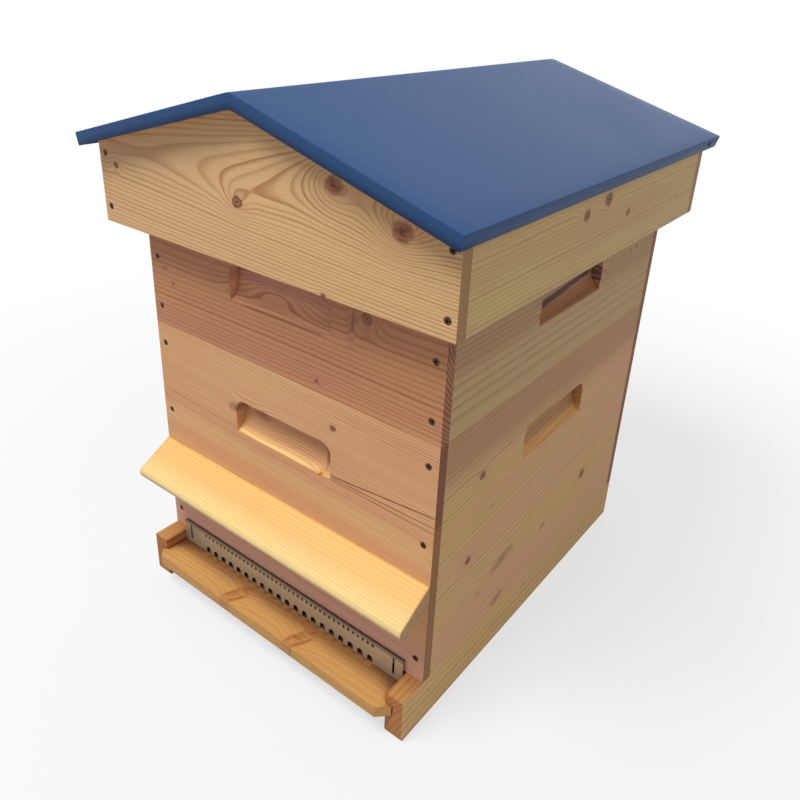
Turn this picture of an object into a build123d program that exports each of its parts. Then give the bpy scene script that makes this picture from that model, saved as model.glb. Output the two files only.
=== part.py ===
from build123d import *

import os
from math import atan2, cos, degrees, radians, sin, tan

# Dadant beehive in millimetres: floor, hive body, super, inner cover and chalet roof.
# The origin is on the ground below the middle of the hive body. +X is to the right as the
# front is seen, -Y points out of the entrance and +Z is up.

# Boxes of the hive body and the super
BOX_WIDTH = 430.0
BOX_DEPTH = 500.0
WALL = 25.0
CORNER_LIP = 13.0
BODY_HEIGHT = 310.0
SUPER_HEIGHT = 170.0

# Rebate along the front and rear walls that carries the frames
REBATE_DEPTH = 12.0
REBATE_HEIGHT = 21.0
REST_SHEET = 1.0

# Hand grips: scoops that are deepest under their ceiling and run out at their lower edge
GRIP_WIDTH = 150.0
GRIP_HEIGHT = 44.0
GRIP_DEPTH = 13.0
GRIP_BACK = 22.0
GRIP_CORNER = 14.0
GRIP_DROP = 58.5

# Countersunk corner screws
SCREW_DIAMETER = 4.0
SCREW_HEAD = 7.8
SCREW_HEAD_ANGLE = 90.0
SCREW_LENGTH = 50.0
SCREW_SINK = 0.4
FASTENER_FIT = 0.05
BODY_SCREW_FOOT = 29.0
BODY_SCREW_PITCH = 79.0
BODY_SCREW_ROWS = 3
BODY_SCREW_TOP = 27.0
SUPER_SCREW_FOOT = 23.5
SUPER_SCREW_TOP = 20.0

# Awning over the entrance
AWNING_RISE = 140.5
AWNING_SLOPE = 30.0
AWNING_REACH = 51.5
AWNING_THICK = 18.0
AWNING_ROUND = 7.0

# Floor
RAIL_HEIGHT = 60.0
RAIL_WIDTH = 23.5
RAIL_REACH = 36.0
RAIL_ARRIS = 5.0
GROOVE_DEPTH = 10.0
GROOVE_END_GAP = 1.5
BOARD_DROP = 14.0
BOARD_THICK = 15.0
BOARD_REACH = 13.5
LANDING_TAIL = 60.0
REAR_RAIL = 24.0
REAR_BOARD = 72.0
MIDDLE_BAR = 24.0
MESH_THICK = 0.9
MESH_LAP = 22.0
MESH_GAP = 22.0
MESH_STRAND = 4.0
NAIL_DIAMETER = 3.0
NAIL_LENGTH = 40.0

# Entrance gate, a folded strip that stands on the landing board
GATE_SHEET = 1.0
GATE_FOLD = 0.9
GATE_HEIGHT = 32.0
GATE_STANDOFF = 5.0
GATE_WALL_GAP = 0.8
GATE_END_GAP = 1.5
ARCH_COUNT = 20
ARCH_PITCH = 15.0
ARCH_WIDTH = 8.5
ARCH_HEIGHT = 10.0
VENTS_PER_ARCH = 2
VENT_DIAMETER = 4.4
VENT_DROP = 5.0
SLOT_WIDTH = 3.2
SLOT_INSET = 13.0
SLOT_TOP = 2.5
SLOT_FOOT = 5.0
PIN_DIAMETER = 2.5
PIN_DEPTH = 15.0
NOTCH_COVER = 1.5
NOTCH_MARGIN = 12.0

# Frames that hang in the hive body and the super
BROOD_COUNT = 10
SHALLOW_COUNT = 9
BAR_WIDTH = 25.0
TOP_BAR = 20.0
LUG = 14.0
SIDE_BAR = 10.0
BOTTOM_BAR = 10.0
BOTTOM_BAR_WIDTH = 20.0
FRAME_END_GAP = 7.5
FRAME_TOP_GAP = 1.0
FRAME_FOOT_GAP = 9.0
LUG_END_GAP = 2.0
FOUNDATION = 2.4
FOUNDATION_EDGE_GAP = 0.5
WIRE_DIAMETER = 0.6
BROOD_WIRE_COUNT = 4
SHALLOW_WIRE_COUNT = 2

# Inner cover
COVER_PANEL = 10.0
COVER_BATTEN = 10.0
COVER_BATTEN_WIDTH = 20.0
COVER_EDGE = 1.0

# Roof
ROOF_BOARD = 20.0
ROOF_LIP = 14.0
ROOF_LAP = 41.0
ROOF_SIDE_GAP = 8.0
ROOF_END_GAP = 13.0
CLEAT_HEIGHT = 25.0
CLEAT_SEAT = 11.0
EAVES_HEADROOM = 14.0
RIDGE_RISE = 72.5
DECK = 12.0
SHEET = 1.0
SHEET_LIP = 14.6
SHEET_SIDE_OVERHANG = 12.5
SHEET_END_OVERHANG = 19.0
ROOF_SCREW_FOOT = 18.0
ROOF_SCREW_TOP = 11.0
SHEET_NAIL = 2.0
SHEET_NAIL_HEAD = 6.0
SHEET_NAIL_HEAD_HEIGHT = 1.2
SHEET_NAIL_LENGTH = 14.0
SHEET_NAIL_INSET = 32.0

# Levels and faces that follow from the sizes above
HALF_WIDTH = BOX_WIDTH / 2
HALF_DEPTH = BOX_DEPTH / 2
INNER_HALF_WIDTH = HALF_WIDTH - WALL
INNER_HALF_DEPTH = HALF_DEPTH - WALL
SIDE_WALL_END = HALF_DEPTH - CORNER_LIP
REBATE_BACK = INNER_HALF_DEPTH + REBATE_DEPTH
SCREW_X = HALF_WIDTH - WALL / 2
REAR_SECTION = Plane(origin=(0, 0, 0), x_dir=(0, -1, 0), z_dir=(-1, 0, 0))

BODY_FOOT = RAIL_HEIGHT
SUPER_FOOT = BODY_FOOT + BODY_HEIGHT
COVER_FOOT = SUPER_FOOT + SUPER_HEIGHT
COVER_TOP = COVER_FOOT + COVER_BATTEN + COVER_PANEL

RAIL_INNER = HALF_WIDTH - RAIL_WIDTH
RAIL_FRONT = -HALF_DEPTH - RAIL_REACH
GROOVE_BACK = RAIL_INNER + GROOVE_DEPTH
BOARD_END = GROOVE_BACK - GROOVE_END_GAP
BOARD_TOP = RAIL_HEIGHT - BOARD_DROP
BOARD_FOOT = BOARD_TOP - BOARD_THICK
LANDING_REAR = -HALF_DEPTH + LANDING_TAIL
REAR_RAIL_FRONT = HALF_DEPTH - REAR_RAIL
REAR_BOARD_FRONT = REAR_RAIL_FRONT - REAR_BOARD
MIDDLE_BAR_Y = (LANDING_REAR + REAR_BOARD_FRONT) / 2
MESH_FRONT = LANDING_REAR - MESH_LAP
NAIL_LEVEL = (BOARD_TOP + BOARD_FOOT) / 2
NAIL_PLACES = ((RAIL_FRONT + LANDING_REAR) / 2, MIDDLE_BAR_Y, (REAR_BOARD_FRONT + REAR_RAIL_FRONT) / 2)

GATE_FRONT = -HALF_DEPTH - GATE_STANDOFF
GATE_END = RAIL_INNER - GATE_END_GAP
GATE_TOP = BOARD_TOP + GATE_HEIGHT
SLOT_X = GATE_END - SLOT_INSET
SLOT_LENGTH = GATE_HEIGHT - SLOT_TOP - SLOT_FOOT
PIN_LEVEL = GATE_TOP - SLOT_TOP - SLOT_WIDTH / 2
NOTCH_HALF_WIDTH = SLOT_X - NOTCH_MARGIN
NOTCH_TOP = GATE_TOP - NOTCH_COVER

REST_HEIGHT = REBATE_HEIGHT - FRAME_TOP_GAP - LUG
LUG_END = REBATE_BACK - LUG_END_GAP
FRAME_END = INNER_HALF_DEPTH - FRAME_END_GAP
BROOD_PITCH = 2 * INNER_HALF_WIDTH / BROOD_COUNT
SHALLOW_PITCH = 2 * INNER_HALF_WIDTH / SHALLOW_COUNT

ROOF_FOOT = COVER_FOOT - ROOF_LAP
ROOF_INNER_X = HALF_WIDTH + ROOF_SIDE_GAP
ROOF_OUTER_X = ROOF_INNER_X + ROOF_BOARD
ROOF_INNER_Y = HALF_DEPTH + ROOF_END_GAP
ROOF_OUTER_Y = ROOF_INNER_Y + ROOF_BOARD
ROOF_BOARD_END = ROOF_OUTER_Y - ROOF_LIP
ROOF_SCREW_X = ROOF_OUTER_X - ROOF_BOARD / 2
CLEAT_TOP = COVER_TOP + CLEAT_HEIGHT
EAVES_X = ROOF_OUTER_X + SHEET_SIDE_OVERHANG
EAVES_Z = CLEAT_TOP + EAVES_HEADROOM
RIDGE_Z = EAVES_Z + RIDGE_RISE
SHEET_END = ROOF_OUTER_Y + SHEET_END_OVERHANG
DECK_END = SHEET_END - SHEET
ROOF_SLOPE = atan2(RIDGE_RISE, EAVES_X)
SLOPE_COS = cos(ROOF_SLOPE)
SLOPE_SIN = sin(ROOF_SLOPE)


def under_deck(x: float) -> float:
    """Level of the deck's underside at a distance from the ridge line."""
    return RIDGE_Z - (SHEET + DECK) / SLOPE_COS - abs(x) * tan(ROOF_SLOPE)


def below_eaves(depth: float, inset: float) -> tuple[float, float]:
    """Point of the right-hand eaves, square to the slope below the sheet and in from its edge."""
    x = EAVES_X - depth * SLOPE_SIN - inset * SLOPE_COS
    z = EAVES_Z - depth * SLOPE_COS + inset * SLOPE_SIN
    return (x, z)


def board(low: tuple, high: tuple, mode: Mode = Mode.ADD) -> None:
    """Square-edged board between two corners, in the part that is being built."""
    size = [b - a for a, b in zip(low, high)]
    with Locations(low):
        Box(*size, align=(Align.MIN, Align.MIN, Align.MIN), mode=mode)


def save(piece: Compound, name: str) -> None:
    """Label a finished piece and write it as one node."""
    piece.label = name
    export_step(piece, f"parts/{name}.step")


def body_screw_levels() -> list[float]:
    """Levels of the screws at the corners of the hive body."""
    lower = [BODY_FOOT + BODY_SCREW_FOOT + i * BODY_SCREW_PITCH for i in range(BODY_SCREW_ROWS)]
    return lower + [SUPER_FOOT - BODY_SCREW_TOP]


def super_screw_levels() -> list[float]:
    """Levels of the screws at the corners of the super."""
    low = SUPER_FOOT + SUPER_SCREW_FOOT
    high = COVER_FOOT - SUPER_SCREW_TOP
    return [low, (low + high) / 2, high]


def roof_screw_levels() -> list[float]:
    """Levels of the screws in the roof's gables."""
    return [ROOF_FOOT + ROOF_SCREW_FOOT, under_deck(ROOF_OUTER_X) - ROOF_SCREW_TOP]


def end_places(x: float, y: float, levels: list[float]) -> list[Location]:
    """Places on the front and rear faces, each with its own Z axis pointing out of the face."""
    front = Plane.XZ.offset(y)
    rear = Plane.XZ.offset(-y).rotated((180, 0, 0))
    corners = [(side * x, level) for side in (-1, 1) for level in levels]
    places = [front.location * Location((u, v, 0)) for u, v in corners]
    return places + [rear.location * Location((u, -v, 0)) for u, v in corners]


def screw_holes(places: list[Location]) -> None:
    """Countersunk holes that the screws fit into, cut from the part that is being built."""
    with Locations(*places):
        CounterSinkHole(
            SCREW_DIAMETER / 2 + FASTENER_FIT,
            SCREW_HEAD / 2 + FASTENER_FIT + SCREW_SINK,
            depth=SCREW_SINK + SCREW_LENGTH + FASTENER_FIT,
            counter_sink_angle=SCREW_HEAD_ANGLE,
        )


def make_screws(places: list[Location], name: str) -> None:
    """Countersunk screws, a cone under a flat head and a plain shank."""
    head_height = (SCREW_HEAD - SCREW_DIAMETER) / 2 / tan(radians(SCREW_HEAD_ANGLE / 2))
    top = (Align.CENTER, Align.CENTER, Align.MAX)
    with BuildPart() as screws:
        with Locations(*[place * Location((0, 0, -SCREW_SINK)) for place in places]):
            Cone(SCREW_DIAMETER / 2, SCREW_HEAD / 2, head_height, align=top)
            Cylinder(SCREW_DIAMETER / 2, SCREW_LENGTH, align=top)
    save(screws.part, name)


def cut_grip(wall: BuildPart, section: Plane, face: float, top: float, inward: Axis) -> None:
    """Hand grip cut into the outer face: an upright back under a flat ceiling with rounded top corners.

    Below its back the grip comes out to the face in an arc. The section plane's own X points into the wall
    and its own Y points up.
    """
    with BuildSketch(section) as hollow:
        with BuildLine():
            ceiling = Line((face, top), (face + GRIP_DEPTH, top))
            back = Line(ceiling @ 1, (face + GRIP_DEPTH, top - GRIP_BACK))
            cove = TangentArc(back @ 1, (face, top - GRIP_HEIGHT), tangent=back % 1)
            Line(cove @ 1, ceiling @ 0)
        make_face()
    extrude(hollow.sketch, amount=GRIP_WIDTH / 2, both=True, mode=Mode.SUBTRACT)
    ceiling_edges = wall.edges(Select.LAST).filter_by(inward).group_by(Axis.Z)[-1]
    fillet(ceiling_edges, GRIP_CORNER)


def make_floor() -> None:
    """Rails, boards, mesh and nails of the floor that the hive stands on."""
    with BuildPart() as right_rail:
        board((RAIL_INNER, RAIL_FRONT, 0), (HALF_WIDTH, HALF_DEPTH, RAIL_HEIGHT))
        fillet(right_rail.edges().filter_by(Axis.X).group_by(Axis.Y)[0].sort_by(Axis.Z)[0], RAIL_ARRIS)
        board(
            (RAIL_INNER, RAIL_FRONT, BOARD_FOOT),
            (GROOVE_BACK, REAR_RAIL_FRONT, BOARD_TOP),
            mode=Mode.SUBTRACT,
        )
        board(
            (RAIL_INNER, MESH_FRONT, BOARD_TOP),
            (GROOVE_BACK, REAR_RAIL_FRONT, BOARD_TOP + MESH_THICK),
            mode=Mode.SUBTRACT,
        )
        nail_shape(NAIL_DIAMETER / 2 + FASTENER_FIT, Mode.SUBTRACT)
    save(right_rail.part, "floor_right_rail")

    with BuildPart() as left_rail:
        mirror(right_rail.part, about=Plane.YZ)
    save(left_rail.part, "floor_left_rail")

    with BuildPart() as rear_rail:
        board((-RAIL_INNER, REAR_RAIL_FRONT, 0), (RAIL_INNER, HALF_DEPTH, RAIL_HEIGHT))
    save(rear_rail.part, "floor_rear_rail")

    front_edge = RAIL_FRONT - BOARD_REACH
    clipped = BOARD_END - BOARD_REACH
    outline = [
        (-BOARD_END, LANDING_REAR),
        (-BOARD_END, RAIL_FRONT),
        (-clipped, front_edge),
        (clipped, front_edge),
        (BOARD_END, RAIL_FRONT),
        (BOARD_END, LANDING_REAR),
    ]
    with BuildPart() as landing_board:
        with BuildSketch(Plane.XY.offset(BOARD_FOOT)):
            Polygon(*outline, align=None)
        extrude(amount=BOARD_THICK)
        nail_shape(NAIL_DIAMETER / 2 + FASTENER_FIT, Mode.SUBTRACT)
    save(landing_board.part, "landing_board")

    bar_front = MIDDLE_BAR_Y - MIDDLE_BAR / 2
    with BuildPart() as middle_bar:
        board((-BOARD_END, bar_front, BOARD_FOOT), (BOARD_END, bar_front + MIDDLE_BAR, BOARD_TOP))
        nail_shape(NAIL_DIAMETER / 2 + FASTENER_FIT, Mode.SUBTRACT)
    save(middle_bar.part, "floor_middle_bar")

    with BuildPart() as rear_board:
        board((-BOARD_END, REAR_BOARD_FRONT, BOARD_FOOT), (BOARD_END, REAR_RAIL_FRONT, BOARD_TOP))
        nail_shape(NAIL_DIAMETER / 2 + FASTENER_FIT, Mode.SUBTRACT)
    save(rear_board.part, "floor_rear_board")

    mesh_depth = REAR_RAIL_FRONT - MESH_FRONT
    pitch = MESH_GAP + MESH_STRAND
    columns = int((2 * BOARD_END - MESH_STRAND) / pitch)
    rows = int((mesh_depth - MESH_STRAND) / pitch)
    with BuildPart() as mesh:
        with BuildSketch(Plane.XY.offset(BOARD_TOP)):
            with Locations((0, MESH_FRONT + mesh_depth / 2)):
                Rectangle(2 * BOARD_END, mesh_depth)
                with GridLocations(pitch, pitch, columns, rows):
                    Rectangle(MESH_GAP, MESH_GAP, mode=Mode.SUBTRACT)
        extrude(amount=MESH_THICK)
    save(mesh.part, "floor_mesh")

    with BuildPart() as nails:
        nail_shape(NAIL_DIAMETER / 2, Mode.ADD)
    save(nails.part, "floor_nails")


def nail_shape(radius: float, mode: Mode) -> None:
    """Nails through the rails' outer faces into the ends of the boards, or the holes for them."""
    top = (Align.CENTER, Align.CENTER, Align.MAX)
    right = [Location((HALF_WIDTH, y, NAIL_LEVEL), (0, 90, 0)) for y in NAIL_PLACES]
    left = [Location((-HALF_WIDTH, y, NAIL_LEVEL), (0, -90, 0)) for y in NAIL_PLACES]
    with Locations(*right, *left):
        Cylinder(radius, NAIL_LENGTH, align=top, mode=mode)


def make_box(prefix: str, foot: float, top: float, levels: list[float], entrance: bool) -> None:
    """Four walls of a box, its frame rests and its corner screws."""
    grip_top = top - GRIP_DROP
    places = end_places(SCREW_X, HALF_DEPTH, levels)

    with BuildPart() as rear_wall:
        board((-HALF_WIDTH, INNER_HALF_DEPTH, foot), (HALF_WIDTH, HALF_DEPTH, top))
        for low, high in ((-HALF_WIDTH, -INNER_HALF_WIDTH), (INNER_HALF_WIDTH, HALF_WIDTH)):
            board((low, INNER_HALF_DEPTH, foot), (high, SIDE_WALL_END, top), mode=Mode.SUBTRACT)
        board(
            (-INNER_HALF_WIDTH, INNER_HALF_DEPTH, top - REBATE_HEIGHT),
            (INNER_HALF_WIDTH, REBATE_BACK, top),
            mode=Mode.SUBTRACT,
        )
        cut_grip(rear_wall, REAR_SECTION, -HALF_DEPTH, grip_top, Axis.Y)
        screw_holes(places)
    save(rear_wall.part, f"{prefix}_rear_wall")

    with BuildPart() as front_wall:
        mirror(rear_wall.part, about=Plane.XZ)
        if entrance:
            board(
                (-NOTCH_HALF_WIDTH, -HALF_DEPTH, foot),
                (NOTCH_HALF_WIDTH, -INNER_HALF_DEPTH, NOTCH_TOP),
                mode=Mode.SUBTRACT,
            )
            pin_shape(PIN_DIAMETER / 2 + FASTENER_FIT, Mode.SUBTRACT)
    save(front_wall.part, f"{prefix}_front_wall")

    with BuildPart() as left_wall:
        board((-HALF_WIDTH, -SIDE_WALL_END, foot), (-INNER_HALF_WIDTH, SIDE_WALL_END, top))
        cut_grip(left_wall, Plane.XZ, -HALF_WIDTH, grip_top, Axis.X)
        screw_holes(places)
    save(left_wall.part, f"{prefix}_left_wall")

    with BuildPart() as right_wall:
        mirror(left_wall.part, about=Plane.YZ)
    save(right_wall.part, f"{prefix}_right_wall")

    ledge = top - REBATE_HEIGHT
    angle = [
        (INNER_HALF_DEPTH, ledge),
        (REBATE_BACK, ledge),
        (REBATE_BACK, ledge + REST_SHEET),
        (INNER_HALF_DEPTH + REST_SHEET, ledge + REST_SHEET),
        (INNER_HALF_DEPTH + REST_SHEET, ledge + REST_HEIGHT),
        (INNER_HALF_DEPTH, ledge + REST_HEIGHT),
    ]
    with BuildPart() as rests:
        with BuildSketch(Plane.YZ):
            Polygon(*angle, align=None)
        extrude(amount=INNER_HALF_WIDTH, both=True)
        mirror(about=Plane.XZ)
    save(rests.part, f"{prefix}_frame_rests")

    make_screws(places, f"{prefix}_screws")


def make_awning() -> None:
    """Sloping board over the entrance, bevelled to lie flat on the front wall."""
    slope = radians(AWNING_SLOPE)
    top = BODY_FOOT + AWNING_RISE
    tip = (-HALF_DEPTH - AWNING_REACH, top - AWNING_REACH * tan(slope))
    under_tip = (tip[0] + AWNING_THICK * sin(slope), tip[1] - AWNING_THICK * cos(slope))
    profile = [(-HALF_DEPTH, top), tip, under_tip, (-HALF_DEPTH, top - AWNING_THICK / cos(slope))]
    with BuildPart() as awning:
        with BuildSketch(Plane.YZ):
            Polygon(*profile, align=None)
        extrude(amount=HALF_WIDTH, both=True)
        fillet(awning.edges().filter_by(Axis.X).sort_by(Axis.Y)[:2], AWNING_ROUND)
    save(awning.part, "awning")


def pin_shape(radius: float, mode: Mode) -> None:
    """Pins in the front wall behind the gate's slots, or the holes for them."""
    places = [Location((side * SLOT_X, GATE_FRONT, PIN_LEVEL), (90, 0, 0)) for side in (-1, 1)]
    with Locations(*places):
        Cylinder(radius, GATE_STANDOFF + PIN_DEPTH, align=(Align.CENTER, Align.CENTER, Align.MAX), mode=mode)


def make_gate() -> None:
    """Perforated entrance gate, folded back almost to the wall along its top, and its two pins."""
    middle = BOARD_TOP + GATE_HEIGHT / 2
    slot_level = BOARD_TOP + SLOT_FOOT + SLOT_LENGTH / 2
    with BuildPart() as gate:
        with BuildSketch(Plane.XZ.offset(-GATE_FRONT - GATE_SHEET)):
            with Locations((0, middle)):
                Rectangle(2 * GATE_END, GATE_HEIGHT)
            with Locations((0, BOARD_TOP)):
                with GridLocations(ARCH_PITCH, 1, ARCH_COUNT, 1):
                    SlotOverall(2 * ARCH_HEIGHT, ARCH_WIDTH, rotation=90, mode=Mode.SUBTRACT)
            with Locations((0, GATE_TOP - VENT_DROP)):
                with GridLocations(ARCH_PITCH / VENTS_PER_ARCH, 1, ARCH_COUNT * VENTS_PER_ARCH, 1):
                    Circle(VENT_DIAMETER / 2, mode=Mode.SUBTRACT)
            with Locations((-SLOT_X, slot_level), (SLOT_X, slot_level)):
                SlotOverall(SLOT_LENGTH, SLOT_WIDTH, rotation=90, mode=Mode.SUBTRACT)
        extrude(amount=GATE_SHEET)
        flange_back = -HALF_DEPTH - GATE_WALL_GAP
        board((-GATE_END, GATE_FRONT, GATE_TOP - GATE_SHEET), (GATE_END, flange_back, GATE_TOP))
        fold = gate.edges().filter_by(Axis.X).group_by(Axis.Y)[0].sort_by(Axis.Z)[-1]
        fillet(fold, GATE_FOLD)
    save(gate.part, "entrance_gate")

    with BuildPart() as pins:
        pin_shape(PIN_DIAMETER / 2, Mode.ADD)
    save(pins.part, "gate_pins")


def make_frame(x: float, foot: float, top: float, name: str) -> None:
    """One frame: a top bar that hangs by its lugs, two side bars and a bottom bar."""
    half = BAR_WIDTH / 2
    half_bottom = BOTTOM_BAR_WIDTH / 2
    bar_foot = top - TOP_BAR
    inner_end = FRAME_END - SIDE_BAR
    with BuildPart() as top_bar:
        board((x - half, -LUG_END, bar_foot), (x + half, LUG_END, top))
        for low, high in ((-LUG_END, -FRAME_END), (FRAME_END, LUG_END)):
            board((x - half, low, bar_foot), (x + half, high, top - LUG), mode=Mode.SUBTRACT)
    with BuildPart() as front_bar:
        board((x - half, -FRAME_END, foot + BOTTOM_BAR), (x + half, -inner_end, bar_foot))
    with BuildPart() as rear_bar:
        board((x - half, inner_end, foot + BOTTOM_BAR), (x + half, FRAME_END, bar_foot))
    with BuildPart() as bottom_bar:
        board((x - half_bottom, -FRAME_END, foot), (x + half_bottom, FRAME_END, foot + BOTTOM_BAR))
    bars = [top_bar.part, front_bar.part, rear_bar.part, bottom_bar.part]
    save(Compound(children=bars), name)


def make_frame_set(
    prefix: str, count: int, pitch: float, box_foot: float, box_top: float, wires: int
) -> None:
    """Frames of one box with their wax foundations and the wires that hold the wax."""
    foot = box_foot + FRAME_FOOT_GAP
    top = box_top - FRAME_TOP_GAP
    inner_end = FRAME_END - SIDE_BAR
    wax_foot = foot + BOTTOM_BAR + FOUNDATION_EDGE_GAP
    wax_top = top - TOP_BAR
    wax_end = inner_end - FOUNDATION_EDGE_GAP
    places = [(i - (count - 1) / 2) * pitch for i in range(count)]
    for i, x in enumerate(places):
        make_frame(x, foot, top, f"{prefix}_frame_{i + 1:02d}")

    with BuildPart() as wax:
        for x in places:
            board((x - FOUNDATION / 2, -wax_end, wax_foot), (x + FOUNDATION / 2, wax_end, wax_top))
    save(wax.part, f"{prefix}_foundations")

    spacing = (wax_top - wax_foot) / (wires + 1)
    wire_levels = [wax_foot + (i + 1) * spacing for i in range(wires)]
    offset_x = (FOUNDATION + WIRE_DIAMETER) / 2
    with BuildPart() as strung:
        with Locations(*[(x + offset_x, 0, z) for x in places for z in wire_levels]):
            Cylinder(WIRE_DIAMETER / 2, 2 * inner_end, rotation=(90, 0, 0))
    save(strung.part, f"{prefix}_wires")


def make_inner_cover() -> None:
    """Panel over the super's frames, held a bee's height above them by battens round its edge."""
    half_x = HALF_WIDTH - COVER_EDGE
    half_y = HALF_DEPTH - COVER_EDGE
    panel_foot = COVER_FOOT + COVER_BATTEN
    with BuildPart() as panel:
        board((-half_x, -half_y, panel_foot), (half_x, half_y, COVER_TOP))
    save(panel.part, "inner_cover_panel")

    inner_x = half_x - COVER_BATTEN_WIDTH
    inner_y = half_y - COVER_BATTEN_WIDTH
    with BuildPart() as left_batten:
        board((-half_x, -half_y, COVER_FOOT), (-inner_x, half_y, panel_foot))
    with BuildPart() as right_batten:
        mirror(left_batten.part, about=Plane.YZ)
    with BuildPart() as front_batten:
        board((-inner_x, -half_y, COVER_FOOT), (inner_x, -inner_y, panel_foot))
    with BuildPart() as rear_batten:
        mirror(front_batten.part, about=Plane.XZ)
    battens = [left_batten.part, right_batten.part, front_batten.part, rear_batten.part]
    save(Compound(children=battens), "inner_cover_battens")


def make_roof_box() -> None:
    """Gables, skirt boards, cleats and screws of the roof."""
    places = end_places(ROOF_SCREW_X, ROOF_OUTER_Y, roof_screw_levels())
    gable = [
        (-ROOF_OUTER_X, ROOF_FOOT),
        (ROOF_OUTER_X, ROOF_FOOT),
        (ROOF_OUTER_X, under_deck(ROOF_OUTER_X)),
        (0, under_deck(0)),
        (-ROOF_OUTER_X, under_deck(ROOF_OUTER_X)),
    ]
    with BuildPart() as front_gable:
        with BuildSketch(Plane.XZ.offset(ROOF_INNER_Y)):
            Polygon(*gable, align=None)
        extrude(amount=ROOF_BOARD)
        for low, high in ((-ROOF_OUTER_X, -ROOF_INNER_X), (ROOF_INNER_X, ROOF_OUTER_X)):
            board((low, -ROOF_BOARD_END, ROOF_FOOT), (high, -ROOF_INNER_Y, RIDGE_Z), mode=Mode.SUBTRACT)
        screw_holes(places)
    save(front_gable.part, "roof_front_gable")

    with BuildPart() as rear_gable:
        mirror(front_gable.part, about=Plane.XZ)
    save(rear_gable.part, "roof_rear_gable")

    skirt = [
        (ROOF_INNER_X, ROOF_FOOT),
        (ROOF_OUTER_X, ROOF_FOOT),
        (ROOF_OUTER_X, under_deck(ROOF_OUTER_X)),
        (ROOF_INNER_X, under_deck(ROOF_INNER_X)),
    ]
    with BuildPart() as right_skirt:
        with BuildSketch(Plane.XZ):
            Polygon(*skirt, align=None)
        extrude(amount=ROOF_BOARD_END, both=True)
        screw_holes(places)
    save(right_skirt.part, "roof_right_skirt")

    with BuildPart() as left_skirt:
        mirror(right_skirt.part, about=Plane.YZ)
    save(left_skirt.part, "roof_left_skirt")

    cleat_inner = HALF_WIDTH - COVER_EDGE - CLEAT_SEAT
    with BuildPart() as right_cleat:
        board((cleat_inner, -INNER_HALF_DEPTH, COVER_TOP), (ROOF_INNER_X, INNER_HALF_DEPTH, CLEAT_TOP))
    save(right_cleat.part, "roof_right_cleat")

    with BuildPart() as left_cleat:
        mirror(right_cleat.part, about=Plane.YZ)
    save(left_cleat.part, "roof_left_cleat")

    make_screws(places, "roof_screws")


def sheet_nail_places() -> list[Location]:
    """Places on the lips' outer faces, near the rear, with Z pointing out of the lip."""
    x, z = below_eaves(SHEET + DECK / 2, 0)
    y = SHEET_END - SHEET_NAIL_INSET
    tilt = degrees(ROOF_SLOPE)
    return [Location((x, y, z), (0, 90 + tilt, 0)), Location((-x, y, z), (0, -90 - tilt, 0))]


def make_roof_cover() -> None:
    """Deck boards, the folded sheet that covers them and the nails in its lips."""
    nail_place = sheet_nail_places()
    top = (Align.CENTER, Align.CENTER, Align.MAX)
    hole_radius = SHEET_NAIL / 2 + FASTENER_FIT

    deck = [
        (0, RIDGE_Z - SHEET / SLOPE_COS),
        below_eaves(SHEET, SHEET),
        below_eaves(SHEET + DECK, SHEET),
        (0, under_deck(0)),
    ]
    with BuildPart() as right_deck:
        with BuildSketch(Plane.XZ):
            Polygon(*deck, align=None)
        extrude(amount=DECK_END, both=True)
        with Locations(*nail_place):
            Cylinder(hole_radius, SHEET_NAIL_LENGTH, align=top, mode=Mode.SUBTRACT)
    save(right_deck.part, "roof_right_deck")

    with BuildPart() as left_deck:
        mirror(right_deck.part, about=Plane.YZ)
    save(left_deck.part, "roof_left_deck")

    lip_foot = below_eaves(SHEET_LIP, 0)
    right_side = [
        (EAVES_X, EAVES_Z),
        lip_foot,
        below_eaves(SHEET_LIP, SHEET),
        below_eaves(SHEET, SHEET),
    ]
    left_side = [(-x, z) for x, z in reversed(right_side)]
    skin = [(0, RIDGE_Z), *right_side, (0, RIDGE_Z - SHEET / SLOPE_COS), *left_side]
    end_lip = [
        (0, RIDGE_Z),
        (EAVES_X, EAVES_Z),
        lip_foot,
        (0, RIDGE_Z - SHEET_LIP / SLOPE_COS),
        (-lip_foot[0], lip_foot[1]),
        (-EAVES_X, EAVES_Z),
    ]
    with BuildPart() as sheet:
        with BuildSketch(Plane.XZ):
            Polygon(*skin, align=None)
        extrude(amount=SHEET_END, both=True)
        with BuildSketch(Plane.XZ.offset(DECK_END), Plane.XZ.offset(-SHEET_END)):
            Polygon(*end_lip, align=None)
        extrude(amount=SHEET)
        with Locations(*nail_place):
            Cylinder(hole_radius, SHEET_NAIL_LENGTH, align=top, mode=Mode.SUBTRACT)
    save(sheet.part, "roof_sheet")

    with BuildPart() as nails:
        with Locations(*nail_place):
            Cylinder(SHEET_NAIL / 2, SHEET_NAIL_LENGTH, align=top)
            Cylinder(
                SHEET_NAIL_HEAD / 2,
                SHEET_NAIL_HEAD_HEIGHT,
                align=(Align.CENTER, Align.CENTER, Align.MIN),
            )
    save(nails.part, "roof_sheet_nails")


def main() -> None:
    """Build every piece and write it to the parts folder."""
    os.makedirs("parts", exist_ok=True)
    make_floor()
    make_box("body", BODY_FOOT, SUPER_FOOT, body_screw_levels(), entrance=True)
    make_awning()
    make_gate()
    make_frame_set("brood", BROOD_COUNT, BROOD_PITCH, BODY_FOOT, SUPER_FOOT, BROOD_WIRE_COUNT)
    make_box("super", SUPER_FOOT, COVER_FOOT, super_screw_levels(), entrance=False)
    make_frame_set("shallow", SHALLOW_COUNT, SHALLOW_PITCH, SUPER_FOOT, COVER_FOOT, SHALLOW_WIRE_COUNT)
    make_inner_cover()
    make_roof_box()
    make_roof_cover()


main()
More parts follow.
